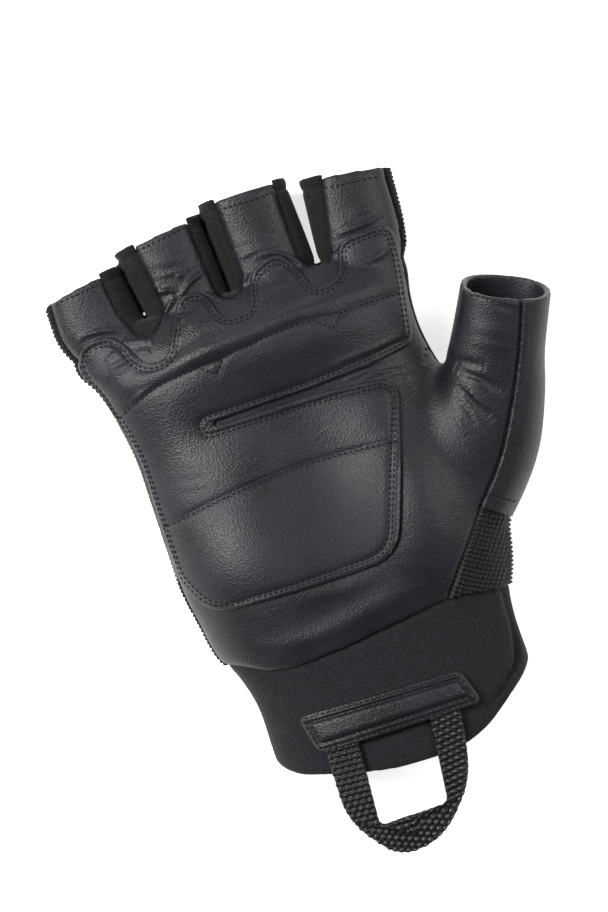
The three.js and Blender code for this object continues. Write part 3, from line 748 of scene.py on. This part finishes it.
# Thumb back. The outer half of the thumb's leather, joined to the palm leather in a raised seam down
# the thumb's front, and turned in at its mouth and over the knit at its foot.
thumb = cut(walls, "INTERSECT", thumb_place(OPEN_SEAM))
thumb = relaxed(remeshed(thumb, voxel=0.5), times=6)
THUMB_FOLDS = [
    (0.9, 0.45, [(51.0, -25.2), (54.5, -28.0), (58.5, -30.6)]),
    (0.7, 0.5, [(49.5, -26.4), (53.4, -29.4), (57.0, -32.3)]),
    (0.8, -0.5, [(76.5, 22.6), (80.5, 21.6), (86.0, 21.2)]),
]


THUMB_STITCHES = [
    [(52.0, -23.9), (55.5, -26.6), (60.0, -29.4)],
    [(77.6, 22.0), (80.8, 21.0), (84.8, 20.6)],
]


def thumb_relief(feet):
    """Folds, and the leather raised a little beside its seam."""
    seam = distance_to(feet, smooth_line(THUMB_SEAM))
    return worn(feet, THUMB_FOLDS) + 0.12 * near(seam, 0.9, middle=1.8)


shaped(thumb, thumb_relief)
sewn("thumb_stitches", THUMB_STITCHES, thumb)
finished(thumb, "thumb_outer_leather", palm_finish, "thumb_leather", "thumb_back")


# Knit strips. Soft stretch knit between two finger stalls, one piece down one finger's side and up
# the next one's, with its edge overlocked at the hems. Fine ribs run along it.
FUZZ_IN_HEIGHT = 7.2
HEIGHT_LOW, HEIGHT_HIGH = 1.6, 5.8


def knit(name, colour, pitch, strength, stretch=(1.0, 1.0, 1.0)):
    """Stretch knit: small loops in rows, matt, with a faint bloom of fibres, and painted shade in the
    hollows between the loops with painted light on their tops.
    """
    material, shader, node, link = nodes_for(name, colour, 0.92, sheen=0.05)
    shader.inputs["Sheen Roughness"].default_value = 0.4
    shader.inputs["Specular IOR Level"].default_value = 0.3
    place = node("ShaderNodeTexCoord").outputs["Object"]
    sized = node("ShaderNodeMapping", vector_type="POINT")
    sized.inputs["Scale"].default_value = [2 * math.pi / pitch * 1000 * s for s in stretch]
    link(place, sized.inputs["Vector"])
    parts = node("ShaderNodeSeparateXYZ")
    link(sized.outputs["Vector"], parts.inputs["Vector"])
    waves = []
    for axis in ("X", "Y", "Z"):
        wave = node("ShaderNodeMath", operation="SINE")
        link(parts.outputs[axis], wave.inputs[0])
        waves.append(wave.outputs[0])
    loops = None
    for a, b in ((0, 1), (1, 2), (2, 0)):
        product = node("ShaderNodeMath", operation="MULTIPLY")
        link(waves[a], product.inputs[0])
        link(waves[b], product.inputs[1])
        if loops is None:
            loops = product.outputs[0]
            continue
        total = node("ShaderNodeMath", operation="ADD")
        link(loops, total.inputs[0])
        link(product.outputs[0], total.inputs[1])
        loops = total.outputs[0]
    fuzz = node("ShaderNodeTexNoise", Scale=1500.0, Detail=2.0, Roughness=0.6)
    link(place, fuzz.inputs["Vector"])
    height = added(fuzz.outputs["Fac"], FUZZ_IN_HEIGHT, loops, node, link)
    embossed(height, strength, 0.00015, shader, node, link)
    # The colour follows the same height as the bump: darker in the hollows between the loops and lighter on
    # their tops. This is painted shade and painted light, mixed with the random tone of the fibre bloom.
    share = node("ShaderNodeMapRange", **{"From Min": HEIGHT_LOW, "From Max": HEIGHT_HIGH})
    link(height, share.inputs["Value"])
    toned(share.outputs["Result"], colour, 0.25, 2.1, shader, node, link)
    return material


strip_finish = knit("strip_knit_finish", (0.0060, 0.0062, 0.0072), 0.8, 0.5, stretch=(1.0, 0.5, 1.0))
ROLLED_EDGE = 0.9
HEM_ROLL = 2.4
taller = cut(filled, "UNION", *[stall_skin(name, past=ROLLED_EDGE) for name in STALLS])
taller = cut(taller, "DIFFERENCE", inner)
for name in STRIPS:
    strip = cut(taller, "INTERSECT", strip_place(name, margin=0))
    strip = relaxed(remeshed(strip, voxel=0.45), times=3)
    foot = STRIPS[name][0][0]

    def strip_relief(feet):
        """Sunk at its foot and along its seams, and rolled at the hems."""
        relief = -1.2 * np.clip((foot + 4.5 - feet[:, 1]) / 4.5, 0, 1) ** 2
        relief -= 0.7 * near(distance_to(feet, closed(strip_outline(name))), 1.1)
        for rows, turn in STALLS.values():
            hem_y, hem_left, hem_right = rows[-1]
            lean = math.tan(math.radians(turn)) * (hem_right - hem_left) / 2
            hem = [(hem_left, hem_y - lean), (hem_right, hem_y + lean)]
            gone = distance_to(feet, hem)
            relief += 0.3 * near(gone, 1.2) - 0.3 * near(gone, 0.6, middle=HEM_ROLL)
        return relief

    shaped(strip, strip_relief)
    finished(strip, f"knit_strip_{name}", strip_finish, "stretch_knit", f"sidewall_{name}")

# Side gusset. A wedge of nubbly knit that lets the thumb's root stretch, sewn between the palm
# leather, the thumb's foot and the cuff. Its nubs stand in curved rows.
gusset = cut(beside_thumb, "INTERSECT", gusset_place(margin=0))
gusset = relaxed(remeshed(gusset, voxel=0.27), times=3)
NUB_PITCH = 1.33
NUB_HEIGHT = 0.85
ROW_BEND = 0.012
TURNS_DOWN = 24


def nubs(rows, columns, row_pitch, column_pitch):
    """Round nubs in rows and columns, 0 between them and 1 on top."""
    return np.abs(np.cos(math.pi * rows / row_pitch) * np.cos(math.pi * columns / column_pitch)) ** 0.7


def gusset_relief(feet):
    """Nubs in rows that bend with the seam, and the knit drawn down at the seam."""
    seam = distance_to(feet, smooth_line(GUSSET_SEAM))
    top, foot = np.array(GUSSET_SEAM[0]), np.array(GUSSET_SEAM[-1])
    run = (foot - top) / np.linalg.norm(foot - top)
    rows = (feet[:, :2] - top) @ run + ROW_BEND * seam**2
    columns = seam + 0.8 * np.maximum(TURNS_DOWN - feet[:, 2], 0)
    return NUB_HEIGHT * nubs(rows, columns, NUB_PITCH, NUB_PITCH) - 0.5 - 0.9 * near(seam, 0.7)


shaped(gusset, gusset_relief)


def yarn(name, colour, roughness, shine):
    """Thick yarn whose turns stand up from the ground: fine fibres, and darker where it is worn."""
    material, shader, node, link = nodes_for(name, colour, roughness)
    shader.inputs["Specular IOR Level"].default_value = shine
    place = node("ShaderNodeTexCoord").outputs["Object"]
    fibres = node("ShaderNodeTexNoise", Scale=3200.0, Detail=3.0, Roughness=0.7)
    link(place, fibres.inputs["Vector"])
    embossed(fibres.outputs["Fac"], 0.5, 0.00012, shader, node, link)
    toned(fibres.outputs["Fac"], colour, 0.4, 1.6, shader, node, link)
    return material


gusset_finish = yarn("gusset_knit_finish", colour=(0.0036, 0.0038, 0.0050), roughness=0.5, shine=0.3)
finished(gusset, "gusset_knit", gusset_finish, "gusset_knit", "side_gusset")

# Back of the glove. Nubbly stretch knit from the cuff to the hems of the four stalls, which meets the
# leather along the sides and runs up a little under its edge. Only its edges show beside the palm.
TUCKED_UP = 1.0
TUCK_SINKS = 1.2
BACK_NUB_PITCH = 1.25
BACK_NUB_HEIGHT = 0.65
THUMB_SIDE = 20
THUMB_CROTCH = 52
back = cut(panels, "DIFFERENCE", prism(EVERYWHERE, low=SIDE_SEAM + TUCKED_UP))
back = relaxed(remeshed(back, voxel=0.9), times=2)


def without_crumbs(obj):
    """Keeps the largest connected part, and drops the crumbs that a cut leaves beside it."""
    mesh = bmesh.new()
    mesh.from_mesh(obj.data)
    unseen = set(mesh.verts)
    parts = []
    while unseen:
        part = set()
        edge = [unseen.pop()]
        while edge:
            corner = edge.pop()
            part.add(corner)
            for side in corner.link_edges:
                other = side.other_vert(corner)
                if other in unseen:
                    unseen.discard(other)
                    edge.append(other)
        parts.append(part)
    kept = max(parts, key=len)
    bmesh.ops.delete(mesh, geom=[v for v in mesh.verts if v not in kept], context="VERTS")
    mesh.to_mesh(obj.data)
    mesh.free()
    return obj


back = without_crumbs(back)
points, feet, facing, height = on_skin(back)
back = finer(back, (points[:, 2] > 4) & (height > -0.8))
back = relaxed(back, times=1)


def back_relief(feet):
    """Nubs up the sides, smooth below the thumb's side, and sunk where it runs under the leather."""
    rows = nubs(feet[:, 1], feet[:, 2], BACK_NUB_PITCH, BACK_NUB_PITCH)
    sides = np.clip((feet[:, 2] - 3) / 2, 0, 1)
    below = np.clip((THUMB_CROTCH - feet[:, 1]) / 4, 0, 1)
    crotch = np.where(feet[:, 0] > THUMB_SIDE, below, 0)
    tucked = np.clip((feet[:, 2] - SIDE_SEAM + 0.4) / 0.6, 0, 1)
    relief = (BACK_NUB_HEIGHT * rows * sides - 0.1) * (1 - crotch) - 0.3 * crotch
    return relief * (1 - tucked) - TUCK_SINKS * tucked


shaped(back, back_relief)
back_finish = knit("back_knit_finish", colour=(0.009, 0.0093, 0.0108), pitch=1.1, strength=0.6)
finished(back, "back_knit", back_finish, "back_knit", "back_panel")

# Padded overlay. A second layer of leather with foam under it, stitched on the palm in two rows. Its
# top edge is cut in scallops below the finger stalls, and a slit follows the crease of the palm.
OVERLAY = [
    # x, y, rounded by
    (-50, 46, 0), (-45.5, 52.6, 4), (-35.2, 52.4, 5), (-30.4, 40.9, 4), (-23.4, 40.9, 3), (-15.6, 57.2, 6),
    (-7.6, 56.9, 4.5), (-4.5, 46.8, 3), (3.5, 46.8, 3), (5.2, 56.6, 5), (15, 61, 5), (20.2, 55, 3),
    (22.6, 46.6, 3), (30.8, 48.4, 3), (32, 58, 6), (49.7, 58.8, 6), (49.6, 49, 5), (45.3, 23.4, 4),
    (30, 21.3, 0), (12, 20.1, 0), (-18.4, 19.7, 0.7), (-18.4, 18.3, 0.7), (18, 18, 0), (34.4, 16.6, 3),
    (37, 12, 2.5), (21, -32.5, 8), (-6, -33.1, 0), (-34, -32.4, 7), (-40.5, -21, 4), (-42.5, -8, 3),
    (-43, 20, 0),
]
QUILTING = [
    [(-48, 27.2), (-40, 29.8), (-35, 31.8), (-30, 33.5), (-25, 34.6), (-20, 35), (-15.6, 35.5)],
    [(-8.2, 35.9), (-5, 36.7), (0, 37), (5, 37.8), (12, 38.2), (19.8, 38.2)],
    [(26.6, 37.4), (30, 38.3), (36, 38.3), (52, 38.2)],
    [
        (-48, -6), (-34.5, -4), (-25, -2.5), (-15, -1.2), (-5, -0.2), (5, 0.1), (15, -0.2), (25, -0.9),
        (40, -2.2),
    ],
]
NOTCHES = [
    [(-15.2, 35.2), (-11.2, 31.9)], [(-11.2, 31.9), (-8.4, 35.6)],
    [(20.2, 37.6), (23.8, 34.2)], [(23.8, 34.2), (26.6, 37.2)],
]
GROOVES = [[*QUILTING[0], *QUILTING[1], *QUILTING[2]], QUILTING[3]]
STITCH_ROWS = (1.5, 2.5)
OVERLAY_LOW = 17.0      # its edges end here on the sides
SLAB = 3.6              # thickness before it is pressed to its own
LEATHER = 1.05
FOAM = 1.1
THINNEST = 0.5


def rounded(corners, steps=8):
    """An outline through corners, each rounded off by its own distance."""
    places = np.array([c[:2] for c in corners], float)
    line = []
    for i, (x, y, by) in enumerate(corners):
        here = np.array([x, y], float)
        if not by:
            line.append(here)
            continue
        ends = []
        for to in (places[i - 1], places[(i + 1) % len(places)]):
            ends.append(here + (to - here) * min(by / np.linalg.norm(to - here), 0.49))
        for t in np.linspace(0, 1, steps):
            line.append((1 - t) ** 2 * ends[0] + 2 * t * (1 - t) * here + t**2 * ends[1])
    return np.array(line)


overlay_outline = rounded(OVERLAY)
overlay_edge = closed(overlay_outline)
ground = relaxed(remeshed(copied(form), voxel=1.0), times=8)
ground_skin = BVHTree.FromObject(ground, bpy.context.evaluated_depsgraph_get())
overlay = cut(swollen(ground, SEAM_GAP + SLAB), "DIFFERENCE", swollen(ground, SEAM_GAP))
overlay = cut(overlay, "INTERSECT", prism(overlay_outline, low=OVERLAY_LOW))
overlay = relaxed(remeshed(overlay, voxel=0.55), times=3)

PAD_FOLDS = [
    (1.7, -1.0, [
        (-42.7, 40.0), (-32.6, 40.6), (-24.4, 41.3), (-15.2, 42.6), (-6.4, 43.3), (2.3, 43.6),
        (14.4, 44.9), (24.0, 43.4),
    ]),
    (2.4, 1.1, [
        (-38.4, 36.0), (-25.5, 37.7), (-13.8, 38.7), (-2.1, 39.8), (9.5, 40.5), (18.6, 41.6),
        (29.4, 42.2), (37.6, 43.4), (42.6, 45.6),
    ]),
    (0.7, 0.52, [(-40.3, 45.3), (-34.1, 46.8)]),
    (0.7, 0.52, [(-40.2, 42.9), (-31.6, 44.3)]),
    (0.7, 0.52, [(-18.7, 48.1), (-9.9, 50.4)]),
    (0.7, 0.52, [(-17.0, 46.0), (-8.4, 47.8)]),
    (0.7, 0.52, [(7.3, 54.0), (16.6, 56.1)]),
    (0.7, 0.52, [(7.8, 52.1), (19.5, 52.9)]),
    (0.8, 0.52, [(10.1, 49.6), (21.3, 49.0)]),
    (0.9, 0.78, [(34.5, 49.3), (38.0, 49.5), (42.0, 50.0), (45.0, 51.1), (46.6, 52.6)]),
    (0.6, 0.52, [(18.0, 24.2), (27.0, 25.1), (34.0, 25.5), (42.0, 26.6)]),
    (0.6, 0.45, [(-37.0, 31.9), (-33.5, 33.4), (-29.5, 34.6)]),
    (1.2, -0.12, [(-33.0, 7.4), (-26.9, 5.8), (-20.1, 4.9)]),
    (1.2, -0.12, [(-32.7, 3.6), (-27.5, 2.3), (-22.1, 1.5)]),
]


def overlay_thickness(feet):
    """Leather over foam, pressed down at the edge, the sewing, the quilting and the notches."""
    edge = np.minimum(distance_to(feet, overlay_edge), np.maximum(feet[:, 2] - OVERLAY_LOW, 0) + 0.3)
    rows = np.min([distance_to(feet, smooth_line(groove, step=1.0)) for groove in GROOVES], axis=0)
    notches = np.min([distance_to(feet, notch) for notch in NOTCHES], axis=0)
    inland = 1 - (1 - np.clip((edge - 2.2) / 12.0, 0, 1)) ** 2
    between = 0.6 + 0.4 * (1 - (1 - np.clip(rows / 7.0, 0, 1)) ** 2)
    tabs = np.clip((feet[:, 1] - 41.5) / 3, 0, 1)
    puff = FOAM * inland * between * (1 - 0.75 * tabs)
    thickness = LEATHER - 0.35 * near(edge, 0.35) - 0.4 * near(edge, 0.8, middle=2.0) + puff
    thickness -= 0.35 * near(rows, 0.7) + 0.2 * near(notches, 0.6)
    return np.maximum(thickness + worn(feet, PAD_FOLDS), THINNEST)


def laid(obj, tree, slab, thickness):
    """Presses a slab that lies on a form to its own thickness at each place."""
    points, feet, facing, height = on_skin(obj, tree)
    share = np.clip((height - SEAM_GAP) / slab, 0, 1.1)
    return moved(obj, feet + facing * (SEAM_GAP + share * thickness(feet))[:, None])


relaxed(laid(overlay, ground_skin, SLAB, overlay_thickness), times=1)


def inside_row(distance):
    """A row inside the edge, and inside the side of the palm where the edge turns under."""
    x, y = widened(overlay_outline, -distance).T
    side = along(PALM, np.clip(y, -60, 52))[:, 0] + 0.3 + 0.7 * distance
    return closed(np.column_stack([np.maximum(x, side), y]))


overlay_rows = [*[inside_row(distance) for distance in STITCH_ROWS], *QUILTING, *NOTCHES]
sewn("overlay_stitches", overlay_rows, overlay, slot="overlay_leather")
OVERLAY_BLACK = (0.0056, 0.0066, 0.0098)
RUBBED_MIDDLE = (-0.011, -0.003, 0.036)
overlay_finish = leather("overlay_leather_finish", OVERLAY_BLACK, roughness=0.45, rubbed=RUBBED_MIDDLE)
finished(overlay, "padded_overlay", overlay_finish, "overlay_leather", "palm_overlay")

# Cuff. A band of soft jersey over thin neoprene round the wrist, sewn to the leather and the knit,
# its edge turned in once and stitched.
MOUTH = [
    (-36, -30, 0), (-34, -64, 0), (-29.5, -82, 9), (4, -90, 14), (27, -89, 10), (48.5, -73.5, 6),
    (54, -60, 0), (60, -30, 0),
]
WRIST_FROM, WRIST_TO = -118, -30
CUFF_STEP = 0.5         # the cuff stands in from the leather by this
CUFF_WALL = 2.8
TUCKED_IN = -1.0
CUFF_FOLDS = [
    (0.8, -1.6, [
        (46.8, -47.0), (47.0, -54.1), (47.2, -60.1), (46.3, -66.4), (44.4, -71.6), (40.9, -75.2),
        (36.1, -78.8), (30.6, -82.5),
    ]),
    (1.2, 0.4, [(44.4, -48.0), (44.6, -58.1), (43.8, -66.4), (41.8, -70.6), (38.0, -73.8), (33.1, -76.8)]),
]
cuff_form = palm_skin(WRIST_FROM, WRIST_TO, CUFF_STEP)
cuff_skin = BVHTree.FromObject(cuff_form, bpy.context.evaluated_depsgraph_get())
cuff_hollow = palm_skin(WRIST_FROM + 0.1, WRIST_TO + 0.1, CUFF_STEP + CUFF_WALL)
cuff = cut(cuff_form, "DIFFERENCE", cuff_hollow, prism(ABOVE_CUFF, margin=TUCKED_IN))
cuff = cut(cuff, "INTERSECT", prism(rounded(MOUTH)), prism(EVERYWHERE, low=TABLE))
cuff = relaxed(remeshed(cuff, voxel=0.7), times=12)


def cuff_relief(feet):
    """The fold at its thumb side, and drawn down where it is sewn to the leather."""
    return worn(feet, CUFF_FOLDS) - 0.25 * near(distance_to(feet, smooth_line(CUFF_SEAM)), 1.0)


shaped(cuff, cuff_relief, cuff_skin)
cuff_finish = knit("cuff_jersey_finish", colour=(0.0082, 0.0086, 0.0108), pitch=0.7, strength=0.3)
finished(cuff, "cuff_jersey", cuff_finish, "cuff_jersey", "cuff")

# Pull patch. A folded strip of leather stitched on the cuff in two frames, with a soft raised middle.
# It covers the ends of the webbing loop.
PATCH = [(-19.8, -66.8, 3), (28.2, -67.9, 3), (31.8, -78.5, 3), (-17, -78.6, 3)]
PATCH_SLAB = 2.9
FRAMES = (1.0, 2.7)     # the two frames of stitches, in from the edge
FOLDED = 2.1
RAISED_MIDDLE = 0.7
UPPER_SIDE = 20
patch_outline = rounded(PATCH)
patch_edge = closed(patch_outline)


def cuff_layer(thickness, outline):
    """A layer that lies on the upper side of the cuff, with a small gap under it."""
    under = CUFF_STEP - SEAM_GAP
    whole = palm_skin(WRIST_FROM, WRIST_TO, under - thickness)
    whole = cut(whole, "DIFFERENCE", palm_skin(WRIST_FROM - 0.5, WRIST_TO + 0.5, under))
    return cut(whole, "INTERSECT", prism(outline, low=UPPER_SIDE))


patch = cuff_layer(PATCH_SLAB, patch_outline)
patch = relaxed(remeshed(patch, voxel=0.4), times=3)


def patch_thickness(feet):
    """Pressed down at the edge and at both frames, with a soft raised middle."""
    edge = distance_to(feet, patch_edge)
    middle = np.clip((edge - 2.8) / 1.6, 0, 1)
    thickness = FOLDED - 0.4 * near(edge, 0.4) - 0.45 * near(edge, 0.45, middle=FRAMES[0])
    thickness += 0.15 * near(edge, 0.4, middle=1.8) - 0.5 * near(edge, 0.5, middle=FRAMES[1])
    return thickness + RAISED_MIDDLE * np.sqrt(1 - (1 - middle) ** 2)


laid(patch, cuff_skin, PATCH_SLAB, patch_thickness)
patch_rows = [closed(widened(patch_outline, -distance)) for distance in FRAMES]
sewn("patch_stitches", patch_rows, patch, thick=0.45, slot="patch_leather")
patch_finish = leather("patch_leather_finish", colour=(0.0055, 0.0063, 0.0088), roughness=0.42)
finished(patch, "pull_strip", patch_finish, "patch_leather", "pull_patch")

# Pull loop. Ten millimetre nylon webbing, basket woven, folded over at its two lower corners so that
# the loop closes, with both ends sewn in under the strip.
LOOP_OUTER = [
    # x, y, rounded by
    (-14.7, -71.5, 0), (-15.2, -99.5, 8), (-4, -113.4, 6), (9, -111.9, 8), (21.8, -98.4, 9),
    (26, -71.5, 0),
]
LOOP_INNER = [(16.6, -71.5, 0), (13.4, -102.2, 2), (-6.6, -102.8, 2), (-4.8, -71.5, 0)]
WEBBING = 1.5
WEBBING_MIDDLE = 3      # between its left and its right leg
NUB_WIDTH = 2.0
NUB_LENGTH = 1.6
WEBBING_NUB = 0.8
loop = cuff_layer(WEBBING, [*rounded(LOOP_OUTER), *rounded(LOOP_INNER)])
loop = relaxed(remeshed(loop, voxel=0.26), times=3)


def webbing_relief(feet):
    """Nubs in brick rows that turn at the two folds, and a ridge with a dip along each fold."""
    x, y = feet[:, 0], feet[:, 1]
    left = x < WEBBING_MIDDLE
    left_fold = -98.3 - (x + 14.4) * 0.51
    right_fold = -101.4 + (x - 13.4) * 0.21
    low = (y < left_fold) & left | (y < right_fold) & ~left
    slant = np.where(left, 0.03, -0.12)
    across = np.where(low, x * 0.80 + y * 0.60, x - slant * y)
    length = np.where(low, -x * 0.60 + y * 0.80, y + slant * x)
    row = np.floor(length / NUB_LENGTH)
    crowns = np.cos(math.pi * (across / NUB_WIDTH + 0.5 * (row % 2)))
    crowns = np.abs(crowns * np.sin(math.pi * length / NUB_LENGTH)) ** 0.7
    folds = np.where(left, y - left_fold, y - right_fold)
    return WEBBING_NUB * crowns - 0.4 + 0.25 * near(folds, 0.8) - 0.3 * near(folds, 0.6, middle=-1.4)


shaped(loop, webbing_relief, cuff_skin)
loop_finish = yarn("webbing_finish", colour=(0.0030, 0.0030, 0.0034), roughness=0.36, shine=0.4)
finished(loop, "webbing_loop", loop_finish, "webbing", "pull_loop")

# The working forms have done their part.
for spare in [o for o in bpy.data.objects if o.name.startswith("work")]:
    bpy.data.objects.remove(spare)

# The white table it lies on, which glows a little, as paper does in bright light.
TABLE_GLOW = 0.7
floor_mesh = bpy.data.meshes.new("table")
floor_mesh.from_pydata([(-2, -2, 0), (2, -2, 0), (2, 2, 0), (-2, 2, 0)], [], [(0, 1, 2, 3)])
floor = bpy.data.objects.new("table", floor_mesh)
bpy.context.scene.collection.objects.link(floor)
paper, paper_shader, paper_node, paper_link = nodes_for("white_paper", (0.9, 0.9, 0.9), 0.9)
fibre = paper_node("ShaderNodeTexNoise", Scale=400.0, Detail=3.0)
fibre_tone = paper_node("ShaderNodeMapRange", **{"To Min": 0.88, "To Max": 0.92})
paper_link(fibre.outputs["Fac"], fibre_tone.inputs["Value"])
paper_link(fibre_tone.outputs["Result"], paper_shader.inputs["Base Color"])
paper_shader.inputs["Emission Color"].default_value = (1, 1, 1, 1)
paper_shader.inputs["Emission Strength"].default_value = TABLE_GLOW
floor_mesh.materials.append(paper)

# Soft daylight, stronger from the sides than from above, and a lamp at each side.
SIDE_LIGHT = 0.4
TOP_LIGHT = 0.07
GLOVE_MIDDLE = (-0.012, 0.019, 0.02)
world = bpy.data.worlds.new("daylight")
bpy.context.scene.world = world
world.use_nodes = True
daylight = world.node_tree.nodes["Background"]
daylight.inputs["Color"].default_value = (1, 1, 1, 1)
height_of_sky = world.node_tree.nodes.new("ShaderNodeSeparateXYZ")
sky_share = world.node_tree.nodes.new("ShaderNodeMapRange")
for socket, value in {"From Min": 0.3, "From Max": 0.95, "To Min": SIDE_LIGHT, "To Max": TOP_LIGHT}.items():
    sky_share.inputs[socket].default_value = value
sky_place = world.node_tree.nodes.new("ShaderNodeTexCoord")
world.node_tree.links.new(sky_place.outputs["Generated"], height_of_sky.inputs["Vector"])
world.node_tree.links.new(height_of_sky.outputs["Z"], sky_share.inputs["Value"])
world.node_tree.links.new(sky_share.outputs["Result"], daylight.inputs["Strength"])


def lamp(name, place, size, power):
    """A square lamp that faces the middle of the glove."""
    data = bpy.data.lights.new(name, "AREA")
    data.shape, data.size, data.energy = "SQUARE", size, power
    obj = bpy.data.objects.new(name, data)
    obj.location = place
    obj.rotation_euler = (Vector(GLOVE_MIDDLE) - Vector(place)).to_track_quat("-Z", "Y").to_euler()
    bpy.context.scene.collection.objects.link(obj)


lamp("lamp_left", place=(-0.57, 0.45, 0.72), size=0.45, power=14.0)
lamp("lamp_right", place=(0.66, 0.20, 0.72), size=0.45, power=4.8)
bpy.context.scene.view_settings.view_transform = "Standard"

# The camera looks straight down on the palm and sees 260 mm from a metre away.
CAMERA_TURN = math.radians(-18)
CAMERA_PLACE = (-0.01147, 0.01896, 1.022)
CAMERA_REACH = 1.0
SEEN = 0.26
SENSOR = 36.0
camera_data = bpy.data.cameras.new("camera")
camera_data.sensor_fit = "VERTICAL"
camera_data.sensor_height = SENSOR
camera_data.lens = SENSOR * CAMERA_REACH / SEEN
camera = bpy.data.objects.new("camera", camera_data)
camera.location = CAMERA_PLACE
camera.rotation_euler = (0, 0, CAMERA_TURN)
bpy.context.scene.collection.objects.link(camera)
bpy.context.scene.camera = camera
